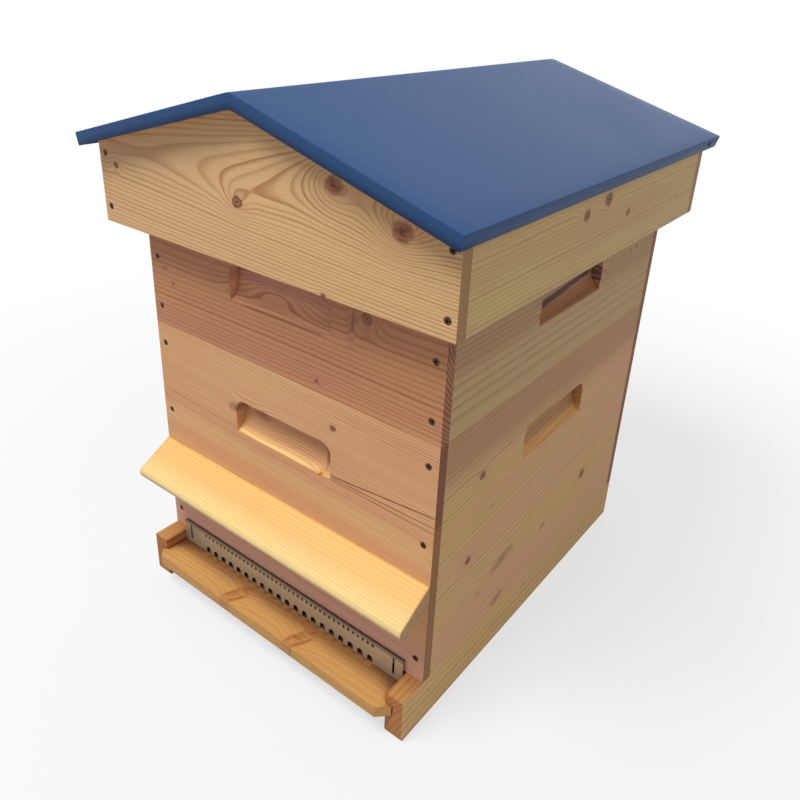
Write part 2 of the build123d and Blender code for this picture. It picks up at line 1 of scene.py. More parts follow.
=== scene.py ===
"""Looks of a wooden beehive: oiled pine boards, a folded blue roof sheet and a galvanised entrance gate."""

import logging
import math
from dataclasses import dataclass
from enum import Enum
from typing import Sequence

import bpy
import numpy as np
from mathutils import Matrix, Vector


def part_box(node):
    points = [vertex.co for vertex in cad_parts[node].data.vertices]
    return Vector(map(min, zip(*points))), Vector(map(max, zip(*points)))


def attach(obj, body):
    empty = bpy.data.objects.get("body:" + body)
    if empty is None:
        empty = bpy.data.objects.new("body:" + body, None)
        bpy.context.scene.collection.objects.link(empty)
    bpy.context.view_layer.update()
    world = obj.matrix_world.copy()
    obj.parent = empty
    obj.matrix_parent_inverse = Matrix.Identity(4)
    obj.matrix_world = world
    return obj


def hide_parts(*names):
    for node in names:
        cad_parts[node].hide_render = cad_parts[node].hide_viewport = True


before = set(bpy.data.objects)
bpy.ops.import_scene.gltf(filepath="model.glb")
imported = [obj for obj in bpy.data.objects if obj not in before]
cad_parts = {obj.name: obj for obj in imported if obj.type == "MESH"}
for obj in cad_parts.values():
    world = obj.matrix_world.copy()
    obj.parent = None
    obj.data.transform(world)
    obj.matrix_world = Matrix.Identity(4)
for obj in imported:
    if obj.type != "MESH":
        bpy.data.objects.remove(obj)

LOG = logging.getLogger("beehive")
MM = 0.001
BOX_HALF_WIDTH = 215.0 * MM
BOX_HALF_DEPTH = 250.0 * MM
QUARTER = math.pi / 2
WHITE = (1.0, 1.0, 1.0)

Socket = bpy.types.NodeSocket
Material = bpy.types.Material
Value = float | Socket
Span = tuple[float, float]
Triple = tuple[float, float, float]
Colour = Triple


def rgb(red: int, green: int, blue: int) -> Colour:
    """Linear colour of three display levels from 0 to 255."""
    levels = np.array([red, green, blue]) / 255.0
    return tuple(np.where(levels <= 0.04045, levels / 12.92, ((levels + 0.055) / 1.055) ** 2.4).tolist())


class Lay(Enum):
    """How a board lies: the turn that brings its length to X, its thickness to Y and its width to Z."""

    ACROSS = (0.0, 0.0, 0.0)
    DEEP = (0.0, 0.0, -QUARTER)
    FLAT = (QUARTER, 0.0, 0.0)
    FLAT_DEEP = (QUARTER, QUARTER, 0.0)
    UPRIGHT = (0.0, QUARTER, 0.0)
    AWNING = (math.radians(60), 0.0, 0.0)


class Shading:
    """Shader nodes of one material or of the sky, added and linked one by one."""

    def __init__(self, owner: Material | bpy.types.World) -> None:
        """Start without nodes.

        Args:
            owner: The new material or world that the nodes are for.
        """
        owner.use_nodes = True
        self.owner = owner
        self.tree = owner.node_tree
        self.tree.nodes.clear()

    def node(
        self, kind: str, inputs: dict[str | int, object] | None = None, **settings: object
    ) -> bpy.types.Node:
        """Add one node.

        Args:
            kind: The node's type name.
            inputs: Values or sockets for its inputs, by name or place.
            settings: Properties of the node.

        Returns:
            The node.
        """
        made = self.tree.nodes.new(kind)
        for key, setting in settings.items():
            setattr(made, key, setting)
        for key, value in (inputs or {}).items():
            self.feed(made.inputs[key], value)
        return made

    def feed(self, target: Socket, value: object) -> None:
        """Fill one input of a node.

        Args:
            target: The input.
            value: A socket that is linked to it, or the value that it is set to.
        """
        if isinstance(value, Socket):
            self.tree.links.new(value, target)
        elif target.type == "RGBA" and len(value) == 3:
            target.default_value = (*value, 1.0)
        else:
            target.default_value = value

    def math(self, operation: str, first: Value, second: Value = 0.0, third: Value = 0.0) -> Socket:
        """One arithmetic step, named as in the Math node."""
        return self.node("ShaderNodeMath", {0: first, 1: second, 2: third}, operation=operation).outputs[0]

    def times(self, first: Value, second: Value) -> Socket:
        """Product of two values."""
        return self.math("MULTIPLY", first, second)

    def times_plus(self, first: Value, second: Value, third: Value) -> Socket:
        """Product of two values, plus a third."""
        return self.math("MULTIPLY_ADD", first, second, third)

    def minus(self, first: Value, second: Value) -> Socket:
        """First value less the second."""
        return self.math("SUBTRACT", first, second)

    def size(self, value: Value) -> Socket:
        """A value without its sign."""
        return self.math("ABSOLUTE", value)

    def square_sum(self, first: Value, second: Value) -> Socket:
        """Sum of the squares of two values."""
        return self.times_plus(first, first, self.times(second, second))

    def bell(self, square: Value, rate: float = 1.0) -> Socket:
        """Bell curve over a squared distance: 1 at its middle, and narrower at a higher rate."""
        return self.math("EXPONENT", self.times(square, -rate))

    def step(self, value: Value, low: float, high: float, start: float = 0.0, end: float = 1.0) -> Socket:
        """Smooth step from start to end while the value goes from low to high."""
        inputs = {"Value": value, "From Min": low, "From Max": high, "To Min": start, "To Max": end}
        return self.node("ShaderNodeMapRange", inputs, interpolation_type="SMOOTHSTEP").outputs[0]

    def plateau(self, value: Value, rise: Span, fall: Span, height: float = 1.0) -> Socket:
        """Smooth step up over one span of a value, and down from the height over a later one."""
        return self.times(self.step(value, *rise), self.step(value, *fall, height, 0.0))

    def place(self, turn: Sequence[float] = (0.0, 0.0, 0.0)) -> Socket:
        """Object coordinates, turned about the origin."""
        coordinates = self.node("ShaderNodeTexCoord").outputs["Object"]
        return self.node("ShaderNodeMapping", {"Vector": coordinates, "Rotation": turn}).outputs[0]

    def split(self, vector: Socket) -> tuple[Socket, Socket, Socket]:
        """The three parts of a vector."""
        return tuple(self.node("ShaderNodeSeparateXYZ", {0: vector}).outputs)

    def scaled(self, vector: Socket, scale: Sequence[float], shift: float = 0.0) -> Socket:
        """A vector times a scale for each axis, moved by the same shift on all of them."""
        inputs = {0: vector, 1: scale, 2: (shift, shift, shift)}
        return self.node("ShaderNodeVectorMath", inputs, operation="MULTIPLY_ADD").outputs[0]

    def noise(self, vector: Socket, scale: float = 1.0, detail: float = 2.0) -> Socket:
        """Smooth noise from 0 to 1 at a place."""
        inputs = {"Vector": vector, "Scale": scale, "Detail": detail}
        return self.node("ShaderNodeTexNoise", inputs).outputs[0]

    def noise_along(self, value: Socket, scale: float) -> Socket:
        """Smooth noise from 0 to 1 along one value."""
        inputs = {"W": value, "Scale": scale, "Detail": 1.0}
        return self.node("ShaderNodeTexNoise", inputs, noise_dimensions="1D").outputs[0]

    def chance(self, value: Socket) -> Socket:
        """Number from 0 to 1 drawn for each whole value."""
        whole = self.math("FLOOR", value)
        return self.node("ShaderNodeTexWhiteNoise", {"W": whole}, noise_dimensions="1D").outputs[0]

    def mix(self, share: Value, first: object, second: object, blend: str = "MIX") -> Socket:
        """Colour between two colours."""
        inputs = {0: share, 6: first, 7: second}
        return self.node("ShaderNodeMix", inputs, data_type="RGBA", blend_type=blend).outputs[2]

    def choose(self, share: Value, first: Socket, second: Socket) -> Socket:
        """Vector between two vectors."""
        return self.node("ShaderNodeMix", {0: share, 4: first, 5: second}, data_type="VECTOR").outputs[1]

    def relief(self, height: Socket, depth: float, edge: float = 0.0) -> Socket:
        """Normal of a surface with a relief, and with rounded edges where they have a radius.

        Args:
            height: The relief, in shares of its depth.
            depth: How deep it is.
            edge: Radius of the edges.

        Returns:
            The normal.
        """
        inputs = {"Height": height, "Distance": depth, "Strength": 1.0}
        if edge:
            inputs["Normal"] = self.node("ShaderNodeBevel", {"Radius": edge}, samples=4).outputs[0]
        return self.node("ShaderNodeBump", inputs).outputs[0]

    def seen(self) -> Socket:
        """1 for rays that look straight, by a mirror or through glass, and 0 for rays that gather light.

        Returns:
            The share.
        """
        rays = self.node("ShaderNodeLightPath").outputs
        indirect = self.math("MAXIMUM", rays["Is Glossy Ray"], rays["Is Transmission Ray"])
        return self.math("MAXIMUM", rays["Is Camera Ray"], indirect)

    def surface(self, **inputs: object) -> Material:
        """Finish the material with one Principled shader, its inputs named with _ for a space."""
        named = {key.replace("_", " "): value for key, value in inputs.items()}
        return self.close(self.node("ShaderNodeBsdfPrincipled", named).outputs[0])

    def close(self, shader: Socket) -> Material:
        """Finish the material with a shader's output."""
        self.node("ShaderNodeOutputMaterial", {"Surface": shader})
        return self.owner


@dataclass(frozen=True)
class Knot:
    """Branch knot in a board, placed along its length and across its width, in metres.

    The rings bulge round it by swell times its radius. Stretch draws it out along the board and slant
    leans it, in lengths along for each length across. The rim goes from 0, soft, to 1, black, and
    strength fades it all. A heart gives it a colour of its own, as resin has.
    """

    along: float
    across: float
    radius: float
    swell: float = 1.4
    stretch: float = 1.2
    slant: float = 0.0
    rim: float = 0.3
    strength: float = 1.0
    heart: Colour | None = None


@dataclass(frozen=True)
class Swirl:
    """Stretch of a board where the rings bow outwards by its bulge, or inwards if that is negative."""

    along: float
    across: float
    reach_along: float
    reach_across: float
    bulge: float


@dataclass(frozen=True)
class Streak:
    """Dark line on a board, from one place along and across it to another, in metres.

    Most are resin lines, but two are painted shadows: the strip under the entrance gate and the line under
    the ceiling of the super's right grip. It is full over the core's share of its width, and has the dark
    colour of the knots unless it names its own.
    """

    start: Span
    end: Span
    width: float = 1.0 * MM
    strength: float = 0.6
    core: float = 0.2
    colour: Colour | None = None


@dataclass(frozen=True)
class Hollow:
    """Colours behind a face at one place through a board's thickness: partly the wood's own tone, partly
    painted light and shade.

    In the grips they paint a shaded part and a lit part, on the rails a lit outer side and a shaded inner
    one, and on the awning a shaded lower front edge. Above a level across the board it has the upper colour
    and below it the lower one. The three depths behind the face are where it starts, where it is full and
    where it ends.
    """

    face: float
    upper: Colour
    lower: Colour
    level: float
    share: float = 0.6
    depths: Triple = (0.1 * MM, 1.2 * MM, 15 * MM)


@dataclass(frozen=True)
class Grain:
    """How a board was cut from its log.

    The rings are cylinders about the pith, a line close to the board's length. The pith's place is
    given across the board's width and through its thickness, in the board's turned frame. The sap colour
    fills the board between the first and the second place of the sap band: sapwood on the awning, painted
    light and shade on the body's front wall, the super's side and the landing board, and a darker top on
    the body's side. Beyond the reach and between the levels of the bars, in that order, the wood stands
    upright.
    """

    lay: Lay
    pith_across: float
    pith_depth: float
    ring: float = 4.2 * MM
    climb: float = 0.0
    dive: float = 0.0
    wander: float = 6.0 * MM
    seed: float = 0.0
    knots: tuple[Knot, ...] = ()
    swirls: tuple[Swirl, ...] = ()
    streaks: tuple[Streak, ...] = ()
    hollows: tuple[Hollow, ...] = ()
    sapwood_and_painted_light_band: Span | None = None
    bars: Triple | None = None


@dataclass(frozen=True)
class PineFinish:
    """Oiled pine: pale early wood, late wood lines that shade it and a blush where the heart shows."""

    early: Colour
    blush: Colour
    late: Colour = rgb(190, 152, 122)
    contrast: float = 0.75
    # Colour of the sap band, which is sapwood on some boards and painted light and shade on others
    sapwood_and_painted_light: Colour = rgb(250, 226, 160)
    knot_red: Colour = rgb(176, 112, 74)
    knot_dark: Colour = rgb(124, 74, 48)
    knot_rim: Colour = rgb(62, 34, 24)
    knot_halo: Colour = rgb(214, 158, 116)
    end_tint: Colour = rgb(172, 138, 108)
    end_line: Colour = rgb(146, 118, 98)
    end_shade: float = 0.7
    end_lines: float = 1.0
    end_from: float = 0.1
    rough_early: float = 0.62
    rough_late: float = 0.5
    gloss: float = 0.3
    relief: float = 0.1 * MM
    arris: float = 1.3 * MM
    # Ambient occlusion paints shade in corners and hollows: its reach, its strength and whether other parts
    # count
    cavity: float = 9.0 * MM
    painted_cavity_shade: float = 0.8
    cavity_local: bool = True
    banding: float = 0.14

    def material(self, name: str, grain: Grain) -> Material:
        """Wood of one board with this finish."""
        return PineBoard(name, self, grain).material()


class PineBoard(Shading):
    """Wood of one board, solid through it, so that its faces, ends and hollows agree.

    A point has its place along the board, through its depth and across its width. The ring count there is
    its distance from the pith over the ring width, with slow noise for a wandering stem and a swelling
    round each knot. Late wood is the last part of each ring.
    """

    # Waves for each metre along the board, through it and across it
    STEM_WAVES = (3.2, 11.0, 11.0)
    CLOUD_WAVES = (3.0, 9.0, 9.0)
    FIBRE_WAVES = (16.0, 800.0, 800.0)
    DUCT_WAVES = (70.0, 1100.0, 1100.0)
    CLOUD_SEED = 4.0

    # Share of a ring over which its late wood comes, and goes again
    LATE_RISE = (0.42, 0.92)
    LATE_FALL = (0.93, 1.0)
    # Rings by which the ring widths vary, and how fast they do
    UNEVEN_RINGS = 1.8
    UNEVEN_RATE = 0.16

    # Noise levels between which a mark shows, and how strongly it does
    FIBRE_SPAN = (0.5, 0.78)
    FIBRE_SHADE = 0.22
    DUCT_SPAN = (0.68, 0.78)
    DUCT_SHADE = 0.25
    BLUSH_SPAN = (0.42, 0.82)
    BLUSH_OF_BAND = 0.5
    BLUSH_OF_CLOUD = 0.7
    LATE_RELIEF = 0.5
    FIBRE_RELIEF = 0.8

    # Open share of the view between which painted shade darkens a cavity, and lean of a face that is an end
    OPEN_SPAN = (0.45, 0.85)
    END_SPAN = (0.75, 0.98)

    # Distances over which the wood of a grip and a resin line fade
    LEVEL_BLUR = 5 * MM
    HOLLOW_FADE = 1 * MM
    STREAK_FADE = 20 * MM

    # Zones of a knot, in its radii, with their shares of colour
    KNOT_SPREAD = 0.16
    KNOT_WAVES = (1.6, 1.6, 4.0)
    KNOT_SPAN = (0.35, 0.65)
    RAGGED_WAVES = 0.9
    RAGGED_DEPTH = 0.8
    HALO_SHARE = 0.45
    HEART_EDGE = (0.6, 1.2)
    HEART_SHARE = 0.9
    CORE_EDGE = (0.0, 0.55)
    CORE_SHARE = 0.75
    RIM_RISE = (0.6, 0.9)
    RIM_FALL = (0.95, 1.25)

    def __init__(self, name: str, finish: PineFinish, grain: Grain) -> None:
        """Start the board's material.

        Args:
            name: The material's name.
            finish: Its colours.
            grain: How the board was cut.
        """
        super().__init__(bpy.data.materials.new(name))
        self.finish = finish
        self.grain = grain
        self.point = self.lie()
        self.along, self.depth, self.across = self.split(self.point)

    def material(self) -> Material:
        """Lay ground, rings, streaks, knots, end grain and painted shade in corners over each other.

        Returns:
            The material.
        """
        finish, grain = self.finish, self.grain
        rings, knot_fields = self.ring_count()
        late = self.plateau(self.math("FRACT", rings), self.LATE_RISE, self.LATE_FALL)
        lively = self.math("POWER", self.chance(rings), 2.0)
        strength = self.times_plus(lively, finish.contrast / 2, finish.contrast / 2)
        fibre = self.noise(self.scaled(self.point, self.FIBRE_WAVES, grain.seed), detail=3.0)
        duct = self.step(self.noise(self.scaled(self.point, self.DUCT_WAVES, grain.seed)), *self.DUCT_SPAN)
        facing = self.end_grain()
        end = self.times(facing, finish.end_shade)
        strength = self.times_plus(facing, self.minus(finish.end_lines, strength), strength)

        colour = self.ground(rings)
        colour = self.mix(self.times(late, strength), colour, finish.late, "MULTIPLY")
        fibre_shade = self.step(fibre, *self.FIBRE_SPAN, 0.0, self.FIBRE_SHADE)
        fleck = self.times_plus(duct, self.DUCT_SHADE, fibre_shade)
        colour = self.mix(fleck, colour, finish.late, "MULTIPLY")
        for streak in grain.streaks:
            colour = self.mix(self.streak_share(streak), colour, streak.colour or finish.knot_dark)
        for knot, field in zip(grain.knots, knot_fields):
            colour = self.knot_colour(colour, knot, field)
        colour = self.mix(end, colour, finish.end_tint, "MULTIPLY")
        colour = self.mix(self.times(end, late), colour, finish.end_line, "MULTIPLY")
        # Painted shade: ambient occlusion darkens corners and hollows, and on the landing board the wood
        # near other parts
        colour = self.mix(self.painted_cavity_shade_share(), colour, finish.knot_dark, "MULTIPLY")

        rough = self.times_plus(late, finish.rough_late - finish.rough_early, finish.rough_early)
        height = self.times_plus(late, self.LATE_RELIEF, self.times(fibre, self.FIBRE_RELIEF))
        normal = self.relief(height, finish.relief, finish.arris)
        return self.surface(
            Base_Color=colour, Roughness=rough, Normal=normal, Specular_IOR_Level=finish.gloss
        )

    def lie(self) -> Socket:
        """Coordinates in the board's turned frame, or upright in the side bars of a hanging frame.

        Returns:
            The coordinates.
        """
        place = self.place(self.grain.lay.value)
        if self.grain.bars is None:
            return place
        reach, foot, top = self.grain.bars
        along, down, _ = self.split(place)
        beyond = self.math("GREATER_THAN", self.size(along), reach)
        between = self.math("COMPARE", down, -(foot + top) / 2, (top - foot) / 2)
        return self.choose(self.times(beyond, between), place, self.place(Lay.UPRIGHT.value))

    def field(
        self, mark: Knot | Swirl, reach_along: float, reach_across: float, slant: float = 0.0
    ) -> Socket:
        """Squared distance from a mark on the board, in its reaches.

        Args:
            mark: The knot or swirl.
            reach_along: Its reach along the board.
            reach_across: Its reach across the board.
            slant: How far it leans, in lengths along for each length across.

        Returns:
            The squared distance.
        """
        off_across = self.minus(self.across, mark.across)
        leaning = self.times_plus(off_across, -slant, self.minus(self.along, mark.along))
        first = self.math("DIVIDE", leaning, reach_along)
        second = self.math("DIVIDE", off_across, reach_across)
        return self.square_sum(first, second)

    def ring_count(self) -> tuple[Socket, list[Socket]]:
        """Rings between the pith and a point.

        Returns:
            The count, and the squared distance from each knot in knot radii.
        """
        grain = self.grain
        sideways = self.minus(self.across, self.times_plus(self.along, grain.climb, grain.pith_across))
        inwards = self.minus(self.depth, self.times_plus(self.along, grain.dive, grain.pith_depth))
        straight = self.math("SQRT", self.square_sum(sideways, inwards))
        slow = self.noise(self.scaled(self.point, self.STEM_WAVES, grain.seed), detail=2.5)
        distance = self.times_plus(slow, grain.wander, straight)
        for swirl in grain.swirls:
            field = self.field(swirl, swirl.reach_along, swirl.reach_across)
            distance = self.times_plus(self.bell(field), swirl.bulge, distance)
        fields = []
        for knot in grain.knots:
            field = self.field(knot, knot.radius * knot.stretch, knot.radius, knot.slant)
            swelling = self.bell(field, self.KNOT_SPREAD)
            distance = self.times_plus(swelling, knot.radius * knot.swell, distance)
            fields.append(field)
        uneven = self.noise_along(distance, self.UNEVEN_RATE / grain.ring)
        even = self.math("DIVIDE", distance, grain.ring)
        return self.times_plus(uneven, self.UNEVEN_RINGS, even), fields

    def ground(self, rings: Socket) -> Socket:
        """Colour of the early wood: clouds of blush, with the sap band and the hollow colours where it has
        them.

        Args:
            rings: Rings between the pith and the point.

        Returns:
            The colour.
        """
        cloud = self.noise(self.scaled(self.point, self.CLOUD_WAVES, self.grain.seed + self.CLOUD_SEED))
        band = self.noise_along(rings, self.finish.banding)
        tone = self.times_plus(band, self.BLUSH_OF_BAND, self.times(cloud, self.BLUSH_OF_CLOUD))
        colour = self.mix(self.step(tone, *self.BLUSH_SPAN), self.finish.early, self.finish.blush)
        # Sap band: sapwood on the awning, painted light and shade on the body's front wall, the super's side
        # and the landing board, a darker top on the body's side
        if self.grain.sapwood_and_painted_light_band:
            colour = self.mix(self.step(self.across, *self.grain.sapwood_and_painted_light_band), colour, self.finish.sapwood_and_painted_light)
        # Hollow colours: painted light and shade in the grips, on the rails and on the awning's edge, partly
        # over the wood's own tone
        for hollow in self.grain.hollows:
            start, full, last = hollow.depths
            behind = self.size(self.minus(self.depth, hollow.face))
            share = self.plateau(behind, (start, full), (last, last + self.HOLLOW_FADE), hollow.share)
            level = (hollow.level - self.LEVEL_BLUR, hollow.level + self.LEVEL_BLUR)
            inner = self.mix(self.step(self.across, *level), hollow.lower, hollow.upper)
            colour = self.mix(share, colour, inner)
        return colour

    def streak_share(self, streak: Streak) -> Socket:
        """How far a streak covers a point: full on the line, none beyond its width and its ends.

        Args:
            streak: The line.

        Returns:
            The share of its colour.
        """
        (along_from, across_from), (along_to, across_to) = streak.start, streak.end
        length = along_to - along_from
        slope = (across_to - across_from) / length
        line = self.times_plus(self.along, slope, across_from - slope * along_from)
        off = self.size(self.minus(self.across, line))
        near = self.step(off, streak.core * streak.width, streak.width, streak.strength, 0.0)
        fade = min(self.STREAK_FADE, length / 3)
        inside = self.plateau(self.along, (along_from, along_from + fade), (along_to - fade, along_to))
        return self.times(inside, near)

    def knot_colour(self, colour: Socket, knot: Knot, field: Socket) -> Socket:
        """A board's colour with one knot added: a blush round it, a streaky heart and a broken rim.

        Args:
            colour: The colour so far.
            knot: The knot.
            field: Squared distance from the knot's middle, in knot radii.

        Returns:
            The colour with the knot.
        """
        finish, strength = self.finish, knot.strength
        ragged = self.noise(self.point, self.RAGGED_WAVES / knot.radius, 3.0)
        shifted = self.times_plus(ragged, self.RAGGED_DEPTH, -self.RAGGED_DEPTH / 2)
        reach = self.math("ADD", self.math("SQRT", field), shifted)
        halo = self.times(self.bell(field, self.KNOT_SPREAD), self.HALO_SHARE * strength)
        inside = self.step(reach, *self.HEART_EDGE, self.HEART_SHARE * strength, 0.0)
        core = self.step(reach, *self.CORE_EDGE, self.CORE_SHARE * strength, 0.0)
        rim = self.plateau(reach, self.RIM_RISE, self.RIM_FALL, knot.rim * strength)
        colour = self.mix(halo, colour, finish.knot_halo)
        colour = self.mix(inside, colour, knot.heart or self.streaky_heart(knot))
        colour = self.mix(core, colour, finish.knot_rim)
        return self.mix(rim, colour, finish.knot_rim)

    def streaky_heart(self, knot: Knot) -> Socket:
        """Colour of a knot's heart where it has none of its own: red wood with dark streaks.

        Args:
            knot: The knot.

        Returns:
            The colour.
        """
        waves = tuple(count / knot.radius for count in self.KNOT_WAVES)
        figure = self.step(self.noise(self.scaled(self.point, waves), detail=4.0), *self.KNOT_SPAN)
        return self.mix(figure, self.finish.knot_dark, self.finish.knot_red)

    def end_grain(self) -> Socket:
        """How far a point lies on the board's end, where the cut fibres drink in more oil.

        Returns:
            The share, from 0 on the board's faces to 1 on its ends.
        """
        normal = self.node("ShaderNodeTexCoord").outputs["Normal"]
        inputs = {"Vector": normal, "Rotation": self.grain.lay.value}
        turned = self.node("ShaderNodeMapping", inputs, vector_type="VECTOR").outputs[0]
        facing = self.size(self.split(turned)[0])
        outer = self.math("GREATER_THAN", self.size(self.along), self.finish.end_from)
        return self.times(outer, self.step(facing, *self.END_SPAN))

    def painted_cavity_shade_share(self) -> Socket:
        """Share of painted shade at a point in a corner or a hollow, from ambient occlusion.

        Returns:
            The share of the dark colour.
        """
        inputs, local = {"Distance": self.finish.cavity}, self.finish.cavity_local
        opened = self.node("ShaderNodeAmbientOcclusion", inputs, samples=8, only_local=local)
        return self.step(opened.outputs["AO"], *self.OPEN_SPAN, self.finish.painted_cavity_shade, 0.0)


@dataclass(frozen=True)
class SheetPaint:
    """Matt blue paint on folded sheet metal, with a fine skin, a little dust and dark corner seams."""

    paint: Colour = (0.026, 0.071, 0.178)
    dust: Colour = (0.042, 0.094, 0.2)
    seam: Colour = (0.006, 0.014, 0.03)
    corner: Span = (0.2555, 0.302)
    seam_width: float = 0.7 * MM
    seam_share: float = 0.9
    dust_waves: float = 5.0
    dust_span: Span = (0.35, 0.75)
    dust_share: float = 0.5
    skin_waves: float = 900.0
    skin_depth: float = 0.03 * MM
    edge: float = 0.4 * MM
    roughness: float = 0.42
    rough_spread: float = 0.18
    gloss: float = 0.13

    def material(self, name: str) -> Material:
        """The painted sheet.

        Args:
            name: The material's name.

        Returns:
            The material.
        """
        s = Shading(bpy.data.materials.new(name))
        place = s.place()
        cloud = s.noise(place, self.dust_waves, 4.0)
        colour = s.mix(s.step(cloud, *self.dust_span, 0.0, self.dust_share), self.paint, self.dust)
        x, y, _ = s.split(place)
        off_x = s.minus(self.corner[0], s.size(x))
        off_y = s.minus(self.corner[1], s.size(y))
        off = s.math("MAXIMUM", off_x, off_y)
        near = s.step(off, self.seam_width / 2, self.seam_width, self.seam_share, 0.0)
        colour = s.mix(near, colour, self.seam)
        rough = s.times_plus(cloud, self.rough_spread, self.roughness)
        normal = s.relief(s.noise(place, self.skin_waves), self.skin_depth, self.edge)
        return s.surface(Base_Color=colour, Roughness=rough, Normal=normal, Specular_IOR_Level=self.gloss)


@dataclass(frozen=True)
class ZincFinish:
    """Galvanised steel: dull zinc with a flat crystal pattern and faint rolling marks."""

    light: Colour = rgb(206, 198, 172)
    dark: Colour = rgb(176, 166, 140)
    painted_top_shade: Colour = rgb(112, 94, 80)
    painted_top_shade_share: float = 0.8
    shadow: Colour = rgb(58, 34, 24)
    shadow_fade: float = 0.4 * MM
    fold: Triple | None = None
    crystals: float = 210.0
    crystal_share: float = 0.25
    rolling_waves: Triple = (15.0, 900.0, 900.0)
    rolling_share: float = 0.5
    rolling_depth: float = 0.02 * MM
    roughness: float = 0.35
    rough_spread: float = 0.1
    metallic: float = 0.6

    def material(self, name: str) -> Material:
        """The galvanised steel with painted shade: on a fold between two levels, and darker beyond a place
        on it.

        Args:
            name: The material's name.

        Returns:
            The material.
        """
        s = Shading(bpy.data.materials.new(name))
        place = s.place()
        crystal = s.node("ShaderNodeTexVoronoi", {"Vector": place, "Scale": self.crystals}).outputs["Color"]
        flake = s.split(crystal)[0]
        rolled = s.noise(s.scaled(place, self.rolling_waves))
        share = s.times_plus(rolled, self.rolling_share, s.times(flake, self.crystal_share))
        colour = s.mix(share, self.light, self.dark)
        # Painted shade on the top fold, and a painted shadow in the gap behind it
        if self.fold:
            low, high, back = self.fold
            _, depth, level = s.split(place)
            folded = s.step(level, low, high)
            behind = s.step(depth, back, back + self.shadow_fade)
            colour = s.mix(s.times(folded, self.painted_top_shade_share), colour, self.painted_top_shade)
            colour = s.mix(s.times(folded, behind), colour, self.shadow)
        rough = s.times_plus(flake, self.rough_spread, self.roughness)
        normal = s.relief(rolled, self.rolling_depth)
        return s.surface(Base_Color=colour, Roughness=rough, Normal=normal, Metallic=self.metallic)


@dataclass(frozen=True)
class ScrewFinish:
    """Browned screw steel with darker specks."""

    dark: Colour = rgb(58, 42, 36)
    brown: Colour = rgb(122, 88, 66)
    speck_waves: float = 420.0
    speck_span: Span = (0.4, 0.7)
    speck_depth: float = 0.03 * MM
    roughness: float = 0.2
    rough_spread: float = 0.3
    metallic: float = 0.8

    def material(self, name: str) -> Material:
        """The screw steel.

        Args:
            name: The material's name.

        Returns:
            The material.
        """
        s = Shading(bpy.data.materials.new(name))
        speck = s.noise(s.place(), self.speck_waves, 3.0)
        colour = s.mix(s.step(speck, *self.speck_span), self.dark, self.brown)
        rough = s.times_plus(speck, self.rough_spread, self.roughness)
        normal = s.relief(speck, self.speck_depth)
        return s.surface(Base_Color=colour, Roughness=rough, Normal=normal, Metallic=self.metallic)


@dataclass(frozen=True)
class WaxFinish:
    """Foundation wax: warm yellow, embossed with a honeycomb."""

    pale: Colour = rgb(236, 196, 104)
    deep: Colour = rgb(196, 140, 52)
    cell: float = 5.4 * MM
    cell_depth: float = 0.5 * MM
    cell_share: float = 0.7
    bloom_waves: float = 30.0
    bloom_share: float = 0.3
    roughness: float = 0.4
    rough_spread: float = 0.2

    def material(self, name: str) -> Material:
        """The embossed wax.

        Three cosine waves at 60 degrees to each other add up to one bump for each cell. Their sum lies
        between -1.5 and 3.

        Args:
            name: The material's name.

        Returns:
            The material.
        """
        s = Shading(bpy.data.materials.new(name))
        place = s.place()
        rate = 4.0 * math.pi / math.sqrt(3.0) / self.cell
        total: Value = 0.0
        for turn in (0.0, math.pi / 3, 2 * math.pi / 3):
            inputs = {0: place, 1: (0.0, rate * math.cos(turn), rate * math.sin(turn))}
            phase = s.node("ShaderNodeVectorMath", inputs, operation="DOT_PRODUCT").outputs["Value"]
            total = s.math("ADD", total, s.math("COSINE", phase))
        cells = s.step(total, -1.5, 3.0)
        bloom = s.noise(place, self.bloom_waves, 3.0)
        share = s.times_plus(cells, self.cell_share, s.times(bloom, self.bloom_share))
        colour = s.mix(share, self.deep, self.pale)
        rough = s.times_plus(bloom, self.rough_spread, self.roughness)
        return s.surface(Base_Color=colour, Roughness=rough, Normal=s.relief(cells, self.cell_depth))


def put_material(node: str, material: Material) -> None:
    """Dress a node of the frame.

    Args:
        node: The node's name.
        material: What it is dressed in.
    """
    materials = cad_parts[node].data.materials
    materials.clear()
    materials.append(material)
    LOG.info("%s dressed in %s", node, material.name)


def dress_boards(boards: dict[str, tuple[PineFinish, Grain]]) -> None:
    """Dress each named board of the frame in wood of its own."""
    for node, (finish, grain) in boards.items():
        put_material(node, finish.material(node, grain))


def node_points(node: str) -> np.ndarray:
    """Points of a node's mesh.

    Args:
        node: The node's name.

    Returns:
        One row for each point, in metres.
    """
    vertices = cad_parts[node].data.vertices
    points = np.empty(len(vertices) * 3, np.float32)
    vertices.foreach_get("co", points)
    return points.reshape(-1, 3).astype(float)


def middles(values: np.ndarray, gap: float) -> np.ndarray:
    """Middle of each bunch of values.

    Args:
        values: The values, in any order.
        gap: Least distance between two bunches.

    Returns:
        The middles, from the lowest up.
    """
    ordered = np.sort(values)
    bunches = np.split(ordered, np.flatnonzero(np.diff(ordered) > gap) + 1)
    return np.array([(bunch[0] + bunch[-1]) / 2 for bunch in bunches])


def grid_faces(rows: int, columns: int, wrap: bool) -> np.ndarray:
    """Corners of the faces of a grid of points, row by row.

    Args:
        rows: Number of rows of points.
        columns: Number of points in a row.
        wrap: Whether the last point of a row joins the first.

    Returns:
        Four point numbers for each face.
    """
    number = np.arange(rows * columns).reshape(rows, columns)
    if wrap:
        number = np.concatenate([number, number[:, :1]], axis=1)
    loop = [number[:-1, :-1], number[:-1, 1:], number[1:, 1:], number[1:, :-1]]
    return np.stack(loop, axis=-1).reshape(-1, 4)


